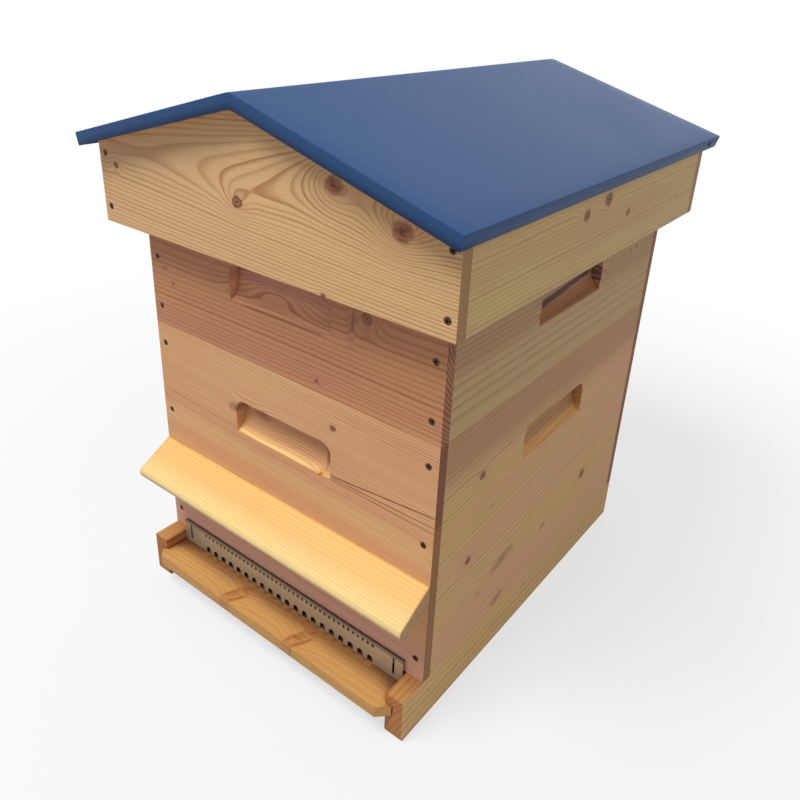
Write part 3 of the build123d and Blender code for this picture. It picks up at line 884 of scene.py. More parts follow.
def add_object(name: str, data: bpy.types.ID) -> bpy.types.Object:
    """New object at the origin, linked to the scene.

    Args:
        name: The object's name.
        data: Its mesh, camera or light.

    Returns:
        The object.
    """
    made = bpy.data.objects.new(name, data)
    bpy.context.scene.collection.objects.link(made)
    return made


def make_piece(
    name: str, points: np.ndarray, faces: Sequence[np.ndarray], material: Material, sharp: float = 0.6
) -> bpy.types.Object:
    """Object at the origin from arrays of points and faces.

    Args:
        name: The piece's name.
        points: One row for each point, in metres.
        faces: Arrays of point numbers, each with the same number of corners throughout.
        material: What it is dressed in.
        sharp: Angle in radians above which an edge stays sharp.

    Returns:
        The object, linked to the scene.
    """
    mesh = bpy.data.meshes.new(name)
    listed = [face for block in faces for face in block.tolist()]
    mesh.from_pydata(points.reshape(-1, 3).tolist(), [], listed)
    mesh.polygons.foreach_set("use_smooth", np.ones(len(mesh.polygons), bool))
    mesh.set_sharp_from_angle(angle=sharp)
    mesh.materials.append(material)
    return add_object(name, mesh)


def stand_in(piece: bpy.types.Object, node: str, body: str) -> None:
    """Let a piece stand for a node of the frame.

    Args:
        piece: The piece.
        node: The node that it hides.
        body: The body that it moves with.
    """
    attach(piece, body)
    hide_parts(node)
    LOG.info("%s stands for %s", piece.name, node)


@dataclass
class ScrewSet:
    """Countersunk wood screws with a cross recess, where a node of the frame has them."""

    node: str
    body: str
    material: Material
    head: float = 3.9 * MM
    shank: float = 2.0 * MM
    core: float = 1.4 * MM
    length: float = 50.0 * MM
    collar: float = 1.0 * MM
    thread_start: float = 20.0 * MM
    thread_pitch: float = 1.8 * MM
    thread_steps: int = 4
    thread_crest: float = 1.4
    thread_flank: float = 4.0
    tip: float = 4.0 * MM
    point: float = 0.2 * MM
    wing: float = 0.6 * MM
    wing_slope: float = 0.2 * MM
    wing_reach: float = 2.4 * MM
    reach_slope: float = 0.7 * MM
    recess: float = 1.5 * MM
    hub: float = 0.06
    head_rings: int = 15
    sides: int = 32

    def build(self) -> None:
        """Make every screw of the set as one piece."""
        points = node_points(self.node)
        reach_x, reach_y = np.abs(points[:, :2]).max(axis=0)
        levels = middles(points[:, 2], 2 * self.head)
        shape, faces = self.one_screw()
        copies, blocks = [], []
        for facing in (-1.0, 1.0):
            for side in (-1.0, 1.0):
                for level in levels:
                    turned = np.stack([-facing * shape[:, 0], facing * shape[:, 2], shape[:, 1]], axis=1)
                    seat = np.array([side * (reach_x - self.head), facing * reach_y, level])
                    blocks += [block + len(copies) * len(shape) for block in faces]
                    copies.append(turned + seat)
        piece = make_piece(f"{self.node}_turned", np.concatenate(copies), blocks, self.material)
        stand_in(piece, self.node, self.body)

    def one_screw(self) -> tuple[np.ndarray, list[np.ndarray]]:
        """One screw with its head's top at zero, pointing down the Z axis.

        The surface is turned about Z. On the head the height drops by the recess inside a cross, and on the
        thread the radius grows with a triangle wave that climbs one pitch for each turn.

        Returns:
            Its points and its faces.
        """
        angle = np.arange(self.sides) * 2 * math.pi / self.sides
        top = np.linspace(self.hub, 1.0, self.head_rings) * self.head
        thread = np.arange(self.thread_start, self.length - self.tip, self.thread_pitch / self.thread_steps)
        smooth = [self.head - self.shank, self.thread_start - self.collar]
        rows = len(top) + len(smooth) + len(thread) + 1
        drop = np.concatenate([np.zeros_like(top), smooth, thread, [self.length]])[:, None]
        below = [*[self.shank] * len(smooth), *[self.core] * len(thread), self.point]
        radius = np.repeat(np.concatenate([top, below])[:, None], self.sides, axis=1)
        height = -np.repeat(drop, self.sides, axis=1)
        along, across = np.abs(radius * np.cos(angle)), np.abs(radius * np.sin(angle))
        inside = np.clip((self.wing - np.minimum(along, across)) / self.wing_slope + 0.5, 0, 1)
        inside *= np.clip((self.wing_reach - np.maximum(along, across)) / self.reach_slope, 0, 1)
        height -= self.recess * inside * (drop == 0)
        turns = (drop / self.thread_pitch - angle / (2 * math.pi)) % 1.0
        wave = np.clip(self.thread_crest - self.thread_flank * np.abs(turns - 0.5), 0, 1)
        on_thread = (drop >= self.thread_start) & (drop < self.length)
        radius += on_thread * (self.shank - self.core) * wave
        grid = np.stack([radius * np.cos(angle), radius * np.sin(angle), height], axis=-1)
        poles = np.array([[0, 0, -self.recess], [0, 0, -self.length]])
        points = np.concatenate([grid.reshape(-1, 3), poles])
        ring = np.arange(self.sides)
        following = np.roll(ring, -1)
        first = np.stack([np.full_like(ring, rows * self.sides), ring, following], axis=1)
        last = (rows - 1) * self.sides
        tip = np.stack([np.full_like(ring, rows * self.sides + 1), last + following, last + ring], axis=1)
        return points, [grid_faces(rows, self.sides, wrap=True)[:, ::-1], first, tip]


# Its sap colour is a painted mauve shade, laid low on the body's front wall under the awning
WALL_PINE = PineFinish(
    early=rgb(234, 187, 131), blush=rgb(226, 169, 122), contrast=0.8, sapwood_and_painted_light=rgb(230, 180, 152),
    end_shade=0.95, painted_cavity_shade=0.12
)
# Pinker than the body's wood, and darker, partly as painted shade from the roof
SUPER_PINE = PineFinish(
    early=rgb(210, 152, 104), blush=rgb(198, 137, 102), contrast=0.8, knot_halo=rgb(168, 112, 92),
    end_shade=0.75, painted_cavity_shade=0.4
)
GABLE_PINE = PineFinish(
    early=rgb(228, 189, 131), blush=rgb(228, 184, 134), contrast=0.9, end_tint=rgb(176, 156, 120),
    end_shade=0.6
)
# Its sap colour is darker, laid on the top of the body's right wall
SIDE_PINE = PineFinish(
    early=rgb(225, 188, 116), blush=rgb(231, 177, 130), contrast=0.65, knot_red=rgb(164, 98, 62),
    knot_dark=rgb(104, 60, 40), knot_halo=rgb(208, 146, 102), sapwood_and_painted_light=rgb(194, 149, 102), painted_cavity_shade=0.3
)
# Darker than the body's side wood, as painted shade from the roof; its sap colour is painted light on the
# lower part of the super's right wall
SUPER_SIDE_PINE = PineFinish(
    early=rgb(186, 155, 104), blush=rgb(184, 144, 103), contrast=0.75, sapwood_and_painted_light=rgb(203, 172, 116),
    painted_cavity_shade=0.3
)
SKIRT_PINE = PineFinish(
    early=rgb(221, 193, 126), blush=rgb(212, 176, 118), contrast=0.65, knot_red=rgb(160, 110, 58),
    knot_dark=rgb(88, 56, 30), knot_rim=rgb(56, 34, 18)
)
AWNING_PINE = PineFinish(
    early=rgb(246, 197, 118), blush=rgb(244, 187, 110), late=rgb(232, 206, 170), contrast=0.7,
    sapwood_and_painted_light=rgb(248, 218, 146), end_tint=rgb(206, 186, 160), end_lines=0.3, end_line=rgb(228, 220, 210),
    arris=5 * MM
)
# Its sap colour is painted light on the front of the landing board, and its ambient occlusion, which counts
# other parts, paints shade near the gate, the walls and the rails
LANDING_PINE = PineFinish(
    early=rgb(184, 134, 80), blush=rgb(166, 116, 66), contrast=0.42, sapwood_and_painted_light=rgb(213, 162, 93), end_shade=0.15,
    knot_red=rgb(206, 140, 72), knot_dark=rgb(116, 70, 36), knot_halo=rgb(196, 138, 76),
    knot_rim=rgb(152, 92, 42), cavity=28 * MM, painted_cavity_shade=0.9, cavity_local=False
)
RAIL_PINE = PineFinish(
    early=rgb(202, 149, 85), blush=rgb(190, 132, 71), contrast=0.75, end_tint=rgb(236, 204, 184),
    end_shade=0.6, end_line=rgb(232, 214, 204), end_lines=0.35
)
FRAME_PINE = PineFinish(early=rgb(232, 206, 164), blush=rgb(226, 192, 146), contrast=0.5, end_shade=0.15)


@dataclass
class HiveBox:
    """One box of the hive: four walls, metal frame rests and corner screws."""

    prefix: str
    body: str
    finish: PineFinish
    side_finish: PineFinish
    front: Grain
    rear: Grain
    left: Grain
    right: Grain

    def dress(self, zinc: Material, steel: Material) -> None:
        """Give each wall its own board of wood, and the metal its finish.

        Args:
            zinc: Finish of the frame rests.
            steel: Finish of the screws.
        """
        walls = {"front": (self.finish, self.front), "rear": (self.finish, self.rear)}
        walls |= {"left": (self.side_finish, self.left), "right": (self.side_finish, self.right)}
        dress_boards({f"{self.prefix}_{side}_wall": wood for side, wood in walls.items()})
        put_material(f"{self.prefix}_frame_rests", zinc)
        ScrewSet(f"{self.prefix}_screws", self.body, steel).build()


def brood_box() -> HiveBox:
    """Box of the hive body, with the knots and resin lines of its boards.

    Returns:
        The box.
    """
    resin = rgb(226, 158, 66)
    front = Grain(
        # The sap band paints the mauve shade low on the wall, under the awning
        Lay.ACROSS, -0.1, -0.19, 3.4 * MM, climb=-0.03, wander=5 * MM, seed=31.0, sapwood_and_painted_light_band=(0.125, 0.09),
        knots=(
            Knot(-0.0775, 0.2995, 7 * MM, swell=1.6, stretch=1.6, rim=0.1, strength=0.6),
            Knot(-0.043, 0.2975, 8 * MM, swell=1.6, stretch=1.8, rim=0.1, strength=0.5),
            Knot(0.078, 0.3345, 3.2 * MM, rim=0.8),
            Knot(0.0625, 0.289, 17 * MM, swell=0.2, stretch=0.2, slant=-0.05, rim=0.2, strength=0.95),
            Knot(0.0597, 0.2675, 4.5 * MM, swell=0.3, stretch=1.4, rim=0.0, strength=0.9, heart=resin),
        ),
        streaks=(
            Streak((-0.215, 0.277), (-0.07, 0.2715), 0.9 * MM, 0.6),
            Streak((0.055, 0.271), (0.225, 0.2875), 1.5 * MM, 0.9),
            Streak((0.060, 0.270), (0.225, 0.275), 1.1 * MM, 0.8),
            Streak((0.060, 0.268), (0.225, 0.267), 1.1 * MM, 0.75),
        ),
        # Grip colours, painted light and shade: a shaded upper part and a lit yellow lower cove
        hollows=(Hollow(-BOX_HALF_DEPTH, rgb(208, 154, 106), rgb(252, 216, 130), 0.2715, share=0.85),),
    )
    right = Grain(
        Lay.DEEP, -0.05, -0.345, 6.4 * MM, climb=0.05, dive=0.04, wander=14 * MM, seed=37.0,
        # The sap band makes the top of the wall darker
        sapwood_and_painted_light_band=(0.29, 0.34),
        knots=(
            Knot(-0.1635, 0.2925, 4.6 * MM, rim=0.5),
            Knot(-0.1775, 0.186, 5.0 * MM),
            Knot(0.122, 0.143, 6.5 * MM),
            Knot(-0.095, 0.134, 9 * MM, swell=1.2, stretch=2.4, slant=1.4, rim=0.5, strength=0.42),
            Knot(-0.0965, 0.073, 6 * MM, swell=0.8, stretch=2.0, slant=1.0, strength=0.5),
            Knot(-0.1335, 0.236, 2.2 * MM, swell=0.8, stretch=1.0, slant=1.0, strength=0.7),
            Knot(0.012, 0.1185, 3.8 * MM, swell=0.8, stretch=1.0, slant=1.4, strength=0.8),
            Knot(-0.1455, 0.1135, 2.2 * MM, strength=0.5),
        ),
        # Grip colours, painted light and shade: a shaded upper part and a lit orange lower cove
        hollows=(Hollow(-BOX_HALF_WIDTH, rgb(186, 136, 86), rgb(252, 194, 106), 0.2745, share=0.85),),
    )
    return HiveBox(
        "body", "hive_body", WALL_PINE, SIDE_PINE, front, right=right,
        rear=Grain(Lay.ACROSS, 0.5, 0.13, 3.6 * MM, seed=33.0, knots=(
            Knot(-0.128, 0.215, 6 * MM), Knot(0.141, 0.122, 4.5 * MM, rim=0.6), Knot(0.034, 0.33, 2.6 * MM),
        )),
        left=Grain(Lay.DEEP, 0.25, 0.12, 3.6 * MM, seed=35.0, knots=(
            Knot(0.152, 0.16, 5.5 * MM), Knot(-0.118, 0.103, 4 * MM), Knot(-0.06, 0.342, 2.4 * MM, rim=0.6),
        )),
    )


def honey_super() -> HiveBox:
    """Box of the super, with the knots and resin lines of its boards, and painted shadow in its right grip.

    Returns:
        The box.
    """
    grey = rgb(150, 110, 100)
    front = Grain(
        Lay.ACROSS, 0.53, -0.12, 4.2 * MM, seed=41.0,
        knots=(
            Knot(0.1035, 0.466, 10 * MM, swell=0.3, stretch=0.2, slant=0.1, strength=0.85),
            Knot(0.121, 0.474, 6 * MM, swell=1.6, stretch=1.0, rim=0.5, strength=0.9),
            Knot(-0.1905, 0.444, 1.6 * MM),
            Knot(-0.1765, 0.4285, 1.6 * MM),
            Knot(0.055, 0.383, 2.2 * MM),
        ),
        streaks=(Streak((-0.06, 0.4365), (0.075, 0.438), 2.2 * MM, 0.55),),
        # Grip colours, painted light and shade: a shaded mauve upper part and a lighter lower part
        hollows=(Hollow(-BOX_HALF_DEPTH, rgb(206, 148, 128), rgb(234, 176, 132), 0.46, share=0.75),),
        swirls=(Swirl(-0.015, 0.456, 0.055, 0.012, bulge=0.014),),
    )
    right = Grain(
        # The sap band is painted light on the lower part of the wall, below the roof's shade
        Lay.DEEP, 0.36, -0.335, 4.4 * MM, wander=5 * MM, seed=47.0, sapwood_and_painted_light_band=(0.452, 0.425),
        knots=(
            Knot(0.161, 0.466, 3 * MM),
            Knot(0.18, 0.467, 3.4 * MM),
            Knot(0.085, 0.458, 2.5 * MM),
            # Painted shadow: the dark rim curls round the grip's rounded right end, its grey heart the
            # lighter wall inside
            Knot(0.0752, 0.4575, 8.5 * MM, swell=0.0, stretch=0.3, rim=0.95, strength=0.9, heart=grey),
        ),
        # Grip colours, partly browner wood and partly painted shade: a light mauve upper part and a dark
        # brown lower part
        hollows=(Hollow(-BOX_HALF_WIDTH, rgb(184, 138, 108), rgb(176, 112, 62), 0.4535, share=0.85),),
        streaks=(
            # Painted shadow: the dark line under the grip's ceiling
            Streak((-0.085, 0.449), (0.08, 0.4615), 5 * MM, 0.97, core=0.45, colour=rgb(60, 30, 20)),
            Streak((-0.02, 0.4395), (0.073, 0.443), 1.4 * MM, 0.6),
        ),
        swirls=(Swirl(0.055, 0.468, 0.03, 0.012, bulge=0.014),),
    )
    return HiveBox(
        "super", "super", SUPER_PINE, SUPER_SIDE_PINE, front, right=right,
        rear=Grain(Lay.ACROSS, 0.43, 0.14, 4.0 * MM, seed=43.0, knots=(
            Knot(0.127, 0.405, 5 * MM, rim=0.5),
        )),
        left=Grain(Lay.DEEP, 0.45, 0.1, 3.6 * MM, seed=45.0, knots=(Knot(-0.165, 0.418, 4.5 * MM),)),
    )


@dataclass
class Awning:
    """Sloping board over the entrance, with pale sapwood along its front edge and painted shade below it."""

    # Painted shade in grey on the lower rounding of the front edge
    grey: Colour = rgb(214, 184, 150)
    edge: Hollow = Hollow(-0.2986, grey, grey, 0.0, share=0.7, depths=(1.5 * MM, 6 * MM, 40 * MM))
    grain: Grain = Grain(
        Lay.AWNING, -0.5, -0.45, 4 * MM, seed=39.0, sapwood_and_painted_light_band=(-0.13, -0.172), hollows=(edge,)
    )

    def dress(self) -> None:
        """Dress the board."""
        dress_boards({"awning": (AWNING_PINE, self.grain)})


@dataclass
class EntranceGate:
    """Perforated gate that slides on two pins."""

    # The fold paints shade on the gate's top and a shadow in the gap behind it
    zinc: ZincFinish = ZincFinish(fold=(0.0745, 0.0765, -0.2522))

    def dress(self, steel: Material) -> None:
        """Dress the gate in zinc and its pins in steel."""
        put_material("entrance_gate", self.zinc.material("gate_zinc"))
        put_material("gate_pins", steel)


@dataclass
class FloorStand:
    """Floor of the hive: rails, boards between them, nails and a wire mesh."""

    wire: float = 0.45 * MM
    pitch: float = 3.0 * MM
    sides: int = 6
    rail_face: float = BOX_HALF_WIDTH
    spike_feet: Span = (-0.0694, 0.0431)

    def dress(self, zinc: Material, steel: Material) -> None:
        """Dress the boards and lay the wire mesh.

        Args:
            zinc: Finish of the mesh.
            steel: Finish of the nails.
        """
        spikes, strokes = self.spike_knots()
        # Painted shadow: a dark strip on the landing board behind and under the entrance gate
        dark = rgb(72, 42, 28)
        painted_gate_shadow = Streak((-0.19, -0.2425), (0.19, -0.2425), 12.5 * MM, 0.9, core=0.85, colour=dark)
        dress_boards({
            "landing_board": (LANDING_PINE, Grain(
                Lay.FLAT, -0.4, -0.12, 6.5 * MM, climb=0.03, dive=0.02, wander=10 * MM, knots=spikes,
                # The sap band is painted light on the front of the board
                streaks=(*strokes, painted_gate_shadow), sapwood_and_painted_light_band=(-0.262, -0.284)
            )),
            "floor_middle_bar": (RAIL_PINE, Grain(Lay.FLAT, 0.1, -0.09, seed=3.0)),
            "floor_rear_board": (RAIL_PINE, Grain(Lay.FLAT, 0.17, -0.1, seed=5.0)),
            "floor_rear_rail": (RAIL_PINE, Grain(Lay.ACROSS, 0.03, 0.3, seed=7.0)),
            "floor_left_rail": (RAIL_PINE, self.rail_grain(1, 9.0)),
            "floor_right_rail": (RAIL_PINE, self.rail_grain(-1, 11.0)),
        })
        put_material("floor_nails", steel)
        self.lay_mesh(zinc)

    def spike_knots(self) -> tuple[tuple[Knot, ...], tuple[Streak, ...]]:
        """Two branches that lie across the landing board, almonds with brown edges and a dark check.

        Returns:
            Their knots and their lines.
        """
        brown, dark = rgb(160, 98, 44), rgb(96, 56, 30)
        knots: tuple[Knot, ...] = ()
        lines: tuple[Streak, ...] = ()
        for foot in self.spike_feet:
            knots += (Knot(
                foot + 0.0135, -0.281, 19 * MM, swell=0.5, stretch=0.5, slant=0.4, rim=0.35, strength=0.5
            ),)
            lines += (
                Streak((foot - 0.002, -0.302), (foot + 0.018, -0.259), 10 * MM, 0.85, 0.1, brown),
                Streak((foot + 0.009, -0.304), (foot + 0.03, -0.27), 9 * MM, 0.85, 0.1, brown),
                Streak((foot + 0.0145, -0.2725), (foot + 0.0235, -0.2615), 2 * MM, 0.9, 0.2, dark),
            )
        return knots, lines

    def rail_grain(self, side: int, seed: float) -> Grain:
        """Wood of a rail, with painted light on its outer side and painted shade on its inner one.

        Args:
            side: 1 for the left rail and -1 for the right one.
            seed: Start of its figure.

        Returns:
            How it was cut.
        """
        face = side * self.rail_face
        pale, brown = rgb(232, 194, 124), rgb(168, 104, 60)
        # Painted light on the outer face and painted shade on the inner face
        outer = Hollow(face, pale, pale, 0.0, share=0.85, depths=(-2 * MM, -1 * MM, 0.1 * MM))
        inner = Hollow(face, brown, brown, 0.0, share=0.6, depths=(22.6 * MM, 23.4 * MM, 40 * MM))
        return Grain(Lay.DEEP, -0.03, side * 0.31, 6 * MM, wander=4 * MM, seed=seed, hollows=(outer, inner))

    def lay_mesh(self, zinc: Material) -> None:
        """Two layers of straight wires, one across the other, each wire a thin prism.

        Args:
            zinc: Finish of the wires.
        """
        low, high = (np.array(corner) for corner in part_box("floor_mesh"))
        level = (low[2] + high[2]) / 2
        lower = self.wires(low, high, 0, level - self.wire / 2)
        upper = self.wires(low, high, 1, level + self.wire / 2)
        points = np.concatenate([lower, upper])
        one = grid_faces(2, self.sides, wrap=True)
        first = np.arange(len(points) // (2 * self.sides)) * 2 * self.sides
        faces = (first[:, None, None] + one[None]).reshape(-1, 4)
        piece = make_piece("floor_wire_mesh", points, [faces], zinc)
        stand_in(piece, "floor_mesh", "floor")

    def wires(self, low: np.ndarray, high: np.ndarray, axis: int, level: float) -> np.ndarray:
        """Points of the parallel wires of one layer: two rings of points for each wire.

        Args:
            low: Lowest corner of the mesh.
            high: Its highest corner.
            axis: The axis that the wires run along, 0 or 1.
            level: Height of their middle lines.

        Returns:
            One row for each point.
        """
        other = 1 - axis
        spread = np.arange(low[other] + self.wire, high[other] - self.wire, self.pitch)
        angle = np.arange(self.sides) * 2 * math.pi / self.sides
        turn = 1.0 if axis == 0 else -1.0
        points = np.empty((len(spread), 2, self.sides, 3))
        points[..., axis] = np.array([low[axis], high[axis]])[None, :, None]
        points[..., other] = spread[:, None, None] + turn * self.wire / 2 * np.cos(angle)
        points[..., 2] = level + self.wire / 2 * np.sin(angle)
        return points.reshape(-1, 3)


@dataclass
class FrameSet:
    """Frames that hang in one box, with their wires and sheets of wax."""

    prefix: str
    count: int
    side_bar_from: float = 207.5 * MM
    top_bar: float = 20.0 * MM
    bottom_bar: float = 10.0 * MM

    def dress(self, wax: Material, wire: Material) -> None:
        """Dress the frames.

        Args:
            wax: Finish of the foundations.
            wire: Finish of the wires.
        """
        low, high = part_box(f"{self.prefix}_frame_01")
        bars = (self.side_bar_from, low[2] + self.bottom_bar, high[2] - self.top_bar)
        grain = Grain(Lay.FLAT_DEEP, 0.3, -0.7, 3.6 * MM, seed=27.0, bars=bars)
        wood = FRAME_PINE.material(f"{self.prefix}_bars", grain)
        for number in range(1, self.count + 1):
            put_material(f"{self.prefix}_frame_{number:02d}", wood)
        put_material(f"{self.prefix}_foundations", wax)
        put_material(f"{self.prefix}_wires", wire)


@dataclass
class InnerCover:
    """Panel over the super's frames, and the battens round its edge."""

    panel: Grain = Grain(Lay.FLAT, 0.2, -0.75, 6 * MM, seed=49.0)
    battens: Grain = Grain(Lay.FLAT, 0.3, -0.6, 4 * MM, seed=51.0)

    def dress(self) -> None:
        """Dress the panel and the battens."""
        boards = {"inner_cover_panel": self.panel, "inner_cover_battens": self.battens}
        dress_boards({node: (FRAME_PINE, grain) for node, grain in boards.items()})


@dataclass
class ChaletRoof:
    """Gabled roof: boards, decks, cleats and one folded sheet with its lips turned down."""

    ridge_rise: float = 72.5 * MM
    lip: float = 14.6 * MM
    sheet: float = 1.0 * MM
    fold: float = 0.9 * MM
    ridge_round: float = 2.5 * MM
    ridge_shares: tuple[float, ...] = (0.004, 0.008, 0.014, 0.022, 0.04)
    slope_from: float = 0.08
    slope_columns: int = 12
    depth_rows: int = 25
    fold_steps: int = 5

    def dress(self, paint: Material, steel: Material) -> None:
        """Dress the boards, fold the sheet and drive the screws.

        Args:
            paint: Finish of the sheet and its nails.
            steel: Finish of the screws.
        """
        right_knots = (
            Knot(-0.0577, 0.562, 5.5 * MM, rim=0.6),
            Knot(-0.008, 0.5695, 7.0 * MM, rim=0.6),
            Knot(0.0525, 0.544, 4.5 * MM, swell=1.0, strength=0.85),
            Knot(0.206, 0.534, 2.0 * MM, strength=0.6),
        )
        left_knots = (Knot(0.098, 0.553, 5.5 * MM, rim=0.4), Knot(-0.152, 0.527, 3.0 * MM))
        left_skirt = Grain(Lay.DEEP, 0.42, 0.343, 3.6 * MM, seed=15.0, knots=left_knots)
        right_skirt = Grain(Lay.DEEP, 0.42, -0.343, 3.6 * MM, seed=17.0, knots=right_knots)
        dress_boards({
            "roof_front_gable": (GABLE_PINE, self.gable_grain()),
            "roof_rear_gable": (GABLE_PINE, Grain(Lay.ACROSS, 0.59, 0.343, 3.2 * MM, dive=0.05, seed=13.0)),
            "roof_left_skirt": (SKIRT_PINE, left_skirt),
            "roof_right_skirt": (SKIRT_PINE, right_skirt),
            "roof_left_deck": (FRAME_PINE, Grain(Lay.FLAT_DEEP, 0.12, -0.5, seed=19.0)),
            "roof_right_deck": (FRAME_PINE, Grain(Lay.FLAT_DEEP, -0.12, -0.5, seed=21.0)),
            "roof_left_cleat": (FRAME_PINE, Grain(Lay.DEEP, 0.5, 0.3, seed=23.0)),
            "roof_right_cleat": (FRAME_PINE, Grain(Lay.DEEP, 0.5, -0.3, seed=25.0)),
        })
        put_material("roof_sheet_nails", paint)
        ScrewSet("roof_screws", "roof", steel).build()
        self.fold_sheet(paint)

    def gable_grain(self) -> Grain:
        """Front gable: rings that open to the right round two large knots, and to the left at its other end.

        Returns:
            How its board was cut.
        """
        knots = (
            Knot(-0.0176, 0.5656, 5.5 * MM, swell=-1.2, rim=0.8),
            Knot(0.1067, 0.6056, 8.5 * MM, swell=-1.5, rim=0.15),
            Knot(0.1826, 0.5813, 9.5 * MM, swell=-1.5, rim=0.15),
            Knot(-0.2144, 0.5672, 3.2 * MM, rim=0.9),
            Knot(0.0951, 0.5001, 2.4 * MM, rim=0.9),
        )
        swirls = (
            Swirl(0.2, 0.612, 0.13, 0.05, bulge=-0.024),
            Swirl(-0.26, 0.583, 0.08, 0.022, bulge=-0.008),
            Swirl(0.0, 0.572, 0.05, 0.022, bulge=-0.006),
        )
        return Grain(
            Lay.ACROSS, 0.592, -0.343, 3.2 * MM, dive=0.05, wander=3 * MM, seed=1.0, knots=knots,
            swirls=swirls
        )

    def fold_sheet(self, paint: Material) -> None:
        """The sheet: a two-sided slope with a rounded ridge, whose edges turn down through a quarter circle.

        Each ring runs round the sheet at one inset from its edge and one depth square to the slope. The
        rings go up the lip and round the fold, and a grid fills the last one.

        Args:
            paint: Finish of the sheet.
        """
        _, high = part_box("roof_sheet")
        half_x, half_y, ridge = high
        tangent = self.ridge_rise / half_x
        cosine = 1 / math.hypot(1, tangent)
        sine = tangent * cosine
        slope = np.linspace(self.slope_from, 1.0, self.slope_columns)
        right = np.concatenate([self.ridge_shares, slope])
        share_x = np.concatenate([-right[::-1], [0.0], right])
        share_y = np.linspace(-1.0, 1.0, self.depth_rows)

        def surface(inset: float, depth: float) -> np.ndarray:
            """Grid of points at one inset and depth.

            Args:
                inset: Distance from the sheet's outline, along its slope.
                depth: Distance below the sheet's top, square to its slope.

            Returns:
                The grid.
            """
            x = share_x * (half_x - inset * cosine - depth * sine)
            y = share_y * (half_y - inset)
            z = ridge - tangent * np.hypot(x, self.ridge_round) - depth / cosine
            grid = np.empty((len(y), len(x), 3))
            grid[..., 0], grid[..., 1], grid[..., 2] = x[None], y[:, None], z[None]
            return grid

        angle = np.linspace(0, QUARTER, self.fold_steps)
        insets = np.concatenate([[0.0, 0.0], self.fold * (1 - np.cos(angle))])
        depths = np.concatenate([[self.lip, self.lip / 2], self.fold * (1 - np.sin(angle))])
        number = np.arange(len(share_y) * len(share_x)).reshape(len(share_y), len(share_x))
        rim = np.concatenate([number[0, :-1], number[:-1, -1], number[-1, :0:-1], number[:0:-1, 0]])
        rings = [surface(i, d).reshape(-1, 3)[rim] for i, d in zip(insets[:-1], depths[:-1])]
        top = surface(insets[-1], depths[-1]).reshape(-1, 3)
        points = np.concatenate([*rings, top])
        sides = grid_faces(len(rings), len(rim), wrap=True)
        start = (len(rings) - 1) * len(rim)
        lower = start + np.arange(len(rim))
        upper = len(rings) * len(rim) + rim
        seam = np.stack([lower, np.roll(lower, -1), np.roll(upper, -1), upper], axis=1)
        cover = len(rings) * len(rim) + grid_faces(len(share_y), len(share_x), wrap=False)
        piece = make_piece("roof_folded_sheet", points, [sides, seam, cover], paint)
        thickness = piece.modifiers.new("thickness", "SOLIDIFY")
        thickness.thickness = self.sheet
        thickness.offset = -1.0
        thickness.use_even_offset = True
        stand_in(piece, "roof_sheet", "roof")


@dataclass(frozen=True)
class Lamp:
    """Square soft lamp, with its place, the length of its side and its power in watts."""

    name: str
    place: Triple
    side: float
    power: float


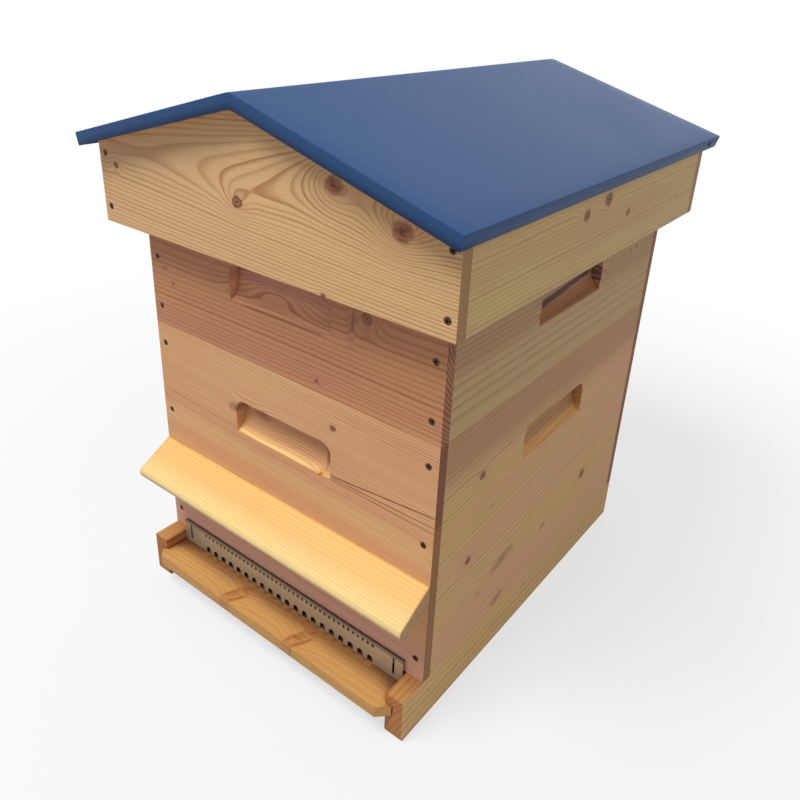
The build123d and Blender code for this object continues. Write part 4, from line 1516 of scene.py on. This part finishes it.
@dataclass
class Studio:
    """Camera, pale floor and soft light."""

    lens: float = 34.59
    shift: Span = (-0.00836, -0.0799)
    eye: Triple = (0.5452, -0.7640, 0.77059)
    right: Triple = (0.79274, 0.60781, 0.04617)
    down: Triple = (0.2919, -0.31203, -0.90412)
    ahead: Triple = (-0.53512, 0.73021, -0.42478)
    ambient: float = 0.36
    sky: Colour = (0.98, 0.95, 1.13)
    floor_reach: float = 30.0
    floor_drop: float = 0.2 * MM
    floor_fade: Span = (0.45, 1.4)
    floor_glow: float = 0.66
    floor_colour: Colour = (0.8, 0.8, 0.8)
    floor_bounce: Colour = (0.36, 0.36, 0.36)
    floor_roughness: float = 0.9
    lamp_target: Triple = (0.0, 0.0, 0.35)
    lamps: tuple[Lamp, ...] = (
        Lamp("key", (-0.45, -1.5, 3.1), 1.3, 76.0),
        Lamp("fill", (2.2, -1.1, 0.6), 1.4, 6.5),
        Lamp("rear", (-0.8, 2.4, 0.9), 1.6, 11.0),
        Lamp("left", (-2.4, 0.5, 0.8), 1.6, 7.0),
    )

    def build(self) -> None:
        """Set the stage up."""
        self.aim_camera()
        self.lay_floor()
        self.spread_sky()
        for lamp in self.lamps:
            self.hang(lamp)
        bpy.context.scene.view_settings.view_transform = "Standard"

    def aim_camera(self) -> None:
        """Camera at the eye's place, turned by its three axes."""
        data = bpy.data.cameras.new("camera")
        data.lens = self.lens
        data.shift_x, data.shift_y = self.shift
        camera = add_object("camera", data)
        turn = np.array([self.right, -np.array(self.down), -np.array(self.ahead)]).T
        camera.matrix_world = Matrix.Translation(self.eye) @ Matrix(turn.tolist()).to_4x4()
        bpy.context.scene.camera = camera

    def lay_floor(self) -> None:
        """Wide pale floor just below the rails, which fades to plain white away from the hive."""
        reach = self.floor_reach
        outline = [(-reach, -reach), (reach, -reach), (reach, reach), (-reach, reach)]
        mesh = bpy.data.meshes.new("floor")
        mesh.from_pydata([(x, y, -self.floor_drop) for x, y in outline], [], [(0, 1, 2, 3)])
        floor = add_object("floor", mesh)
        s = Shading(bpy.data.materials.new("floor"))
        x, y, _ = s.split(s.place())
        away = s.math("SQRT", s.square_sum(x, y))
        seen = s.seen()
        share = s.times(seen, s.step(away, *self.floor_fade, self.floor_glow, 1.0))
        colour = s.mix(seen, self.floor_bounce, self.floor_colour)
        matt_inputs = {"Base Color": colour, "Roughness": self.floor_roughness}
        matt = s.node("ShaderNodeBsdfPrincipled", matt_inputs).outputs[0]
        glow = s.node("ShaderNodeEmission", {"Color": WHITE}).outputs[0]
        mixed = s.node("ShaderNodeMixShader", {0: share, 1: matt, 2: glow}).outputs[0]
        mesh.materials.append(s.close(mixed))

    def spread_sky(self) -> None:
        """Even soft light from all round, which looks plain white by itself and in reflections."""
        world = bpy.data.worlds.new("sky")
        s = Shading(world)
        seen = s.seen()
        strength = s.step(seen, 0.0, 1.0, self.ambient, 1.0)
        inputs = {"Color": s.mix(seen, self.sky, WHITE), "Strength": strength}
        light = s.node("ShaderNodeBackground", inputs).outputs[0]
        s.node("ShaderNodeOutputWorld", {"Surface": light})
        bpy.context.scene.world = world

    def hang(self, lamp: Lamp) -> None:
        """Hang a lamp that looks at the middle of the hive.

        Args:
            lamp: The lamp.
        """
        data = bpy.data.lights.new(lamp.name, "AREA")
        data.size = lamp.side
        data.energy = lamp.power
        hung = add_object(lamp.name, data)
        hung.location = lamp.place
        hung.rotation_mode = "QUATERNION"
        hung.rotation_quaternion = (Vector(self.lamp_target) - hung.location).to_track_quat("-Z", "Y")


def main() -> None:
    """Build and dress every sub-assembly."""
    logging.basicConfig(level=logging.INFO)
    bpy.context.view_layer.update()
    zinc = ZincFinish().material("galvanised")
    steel = ScrewFinish().material("screw_steel")
    paint = SheetPaint().material("blue_paint")
    wax = WaxFinish().material("embossed_wax")
    wire = ZincFinish(rgb(200, 198, 194), rgb(160, 158, 154), metallic=0.85).material("frame_wire")
    FloorStand().dress(zinc, steel)
    brood_box().dress(zinc, steel)
    Awning().dress()
    EntranceGate().dress(steel)
    honey_super().dress(zinc, steel)
    FrameSet("brood", 10).dress(wax, wire)
    FrameSet("shallow", 9).dress(wax, wire)
    InnerCover().dress()
    ChaletRoof().dress(paint, steel)
    Studio().build()


if __name__ == "__main__":
    main()
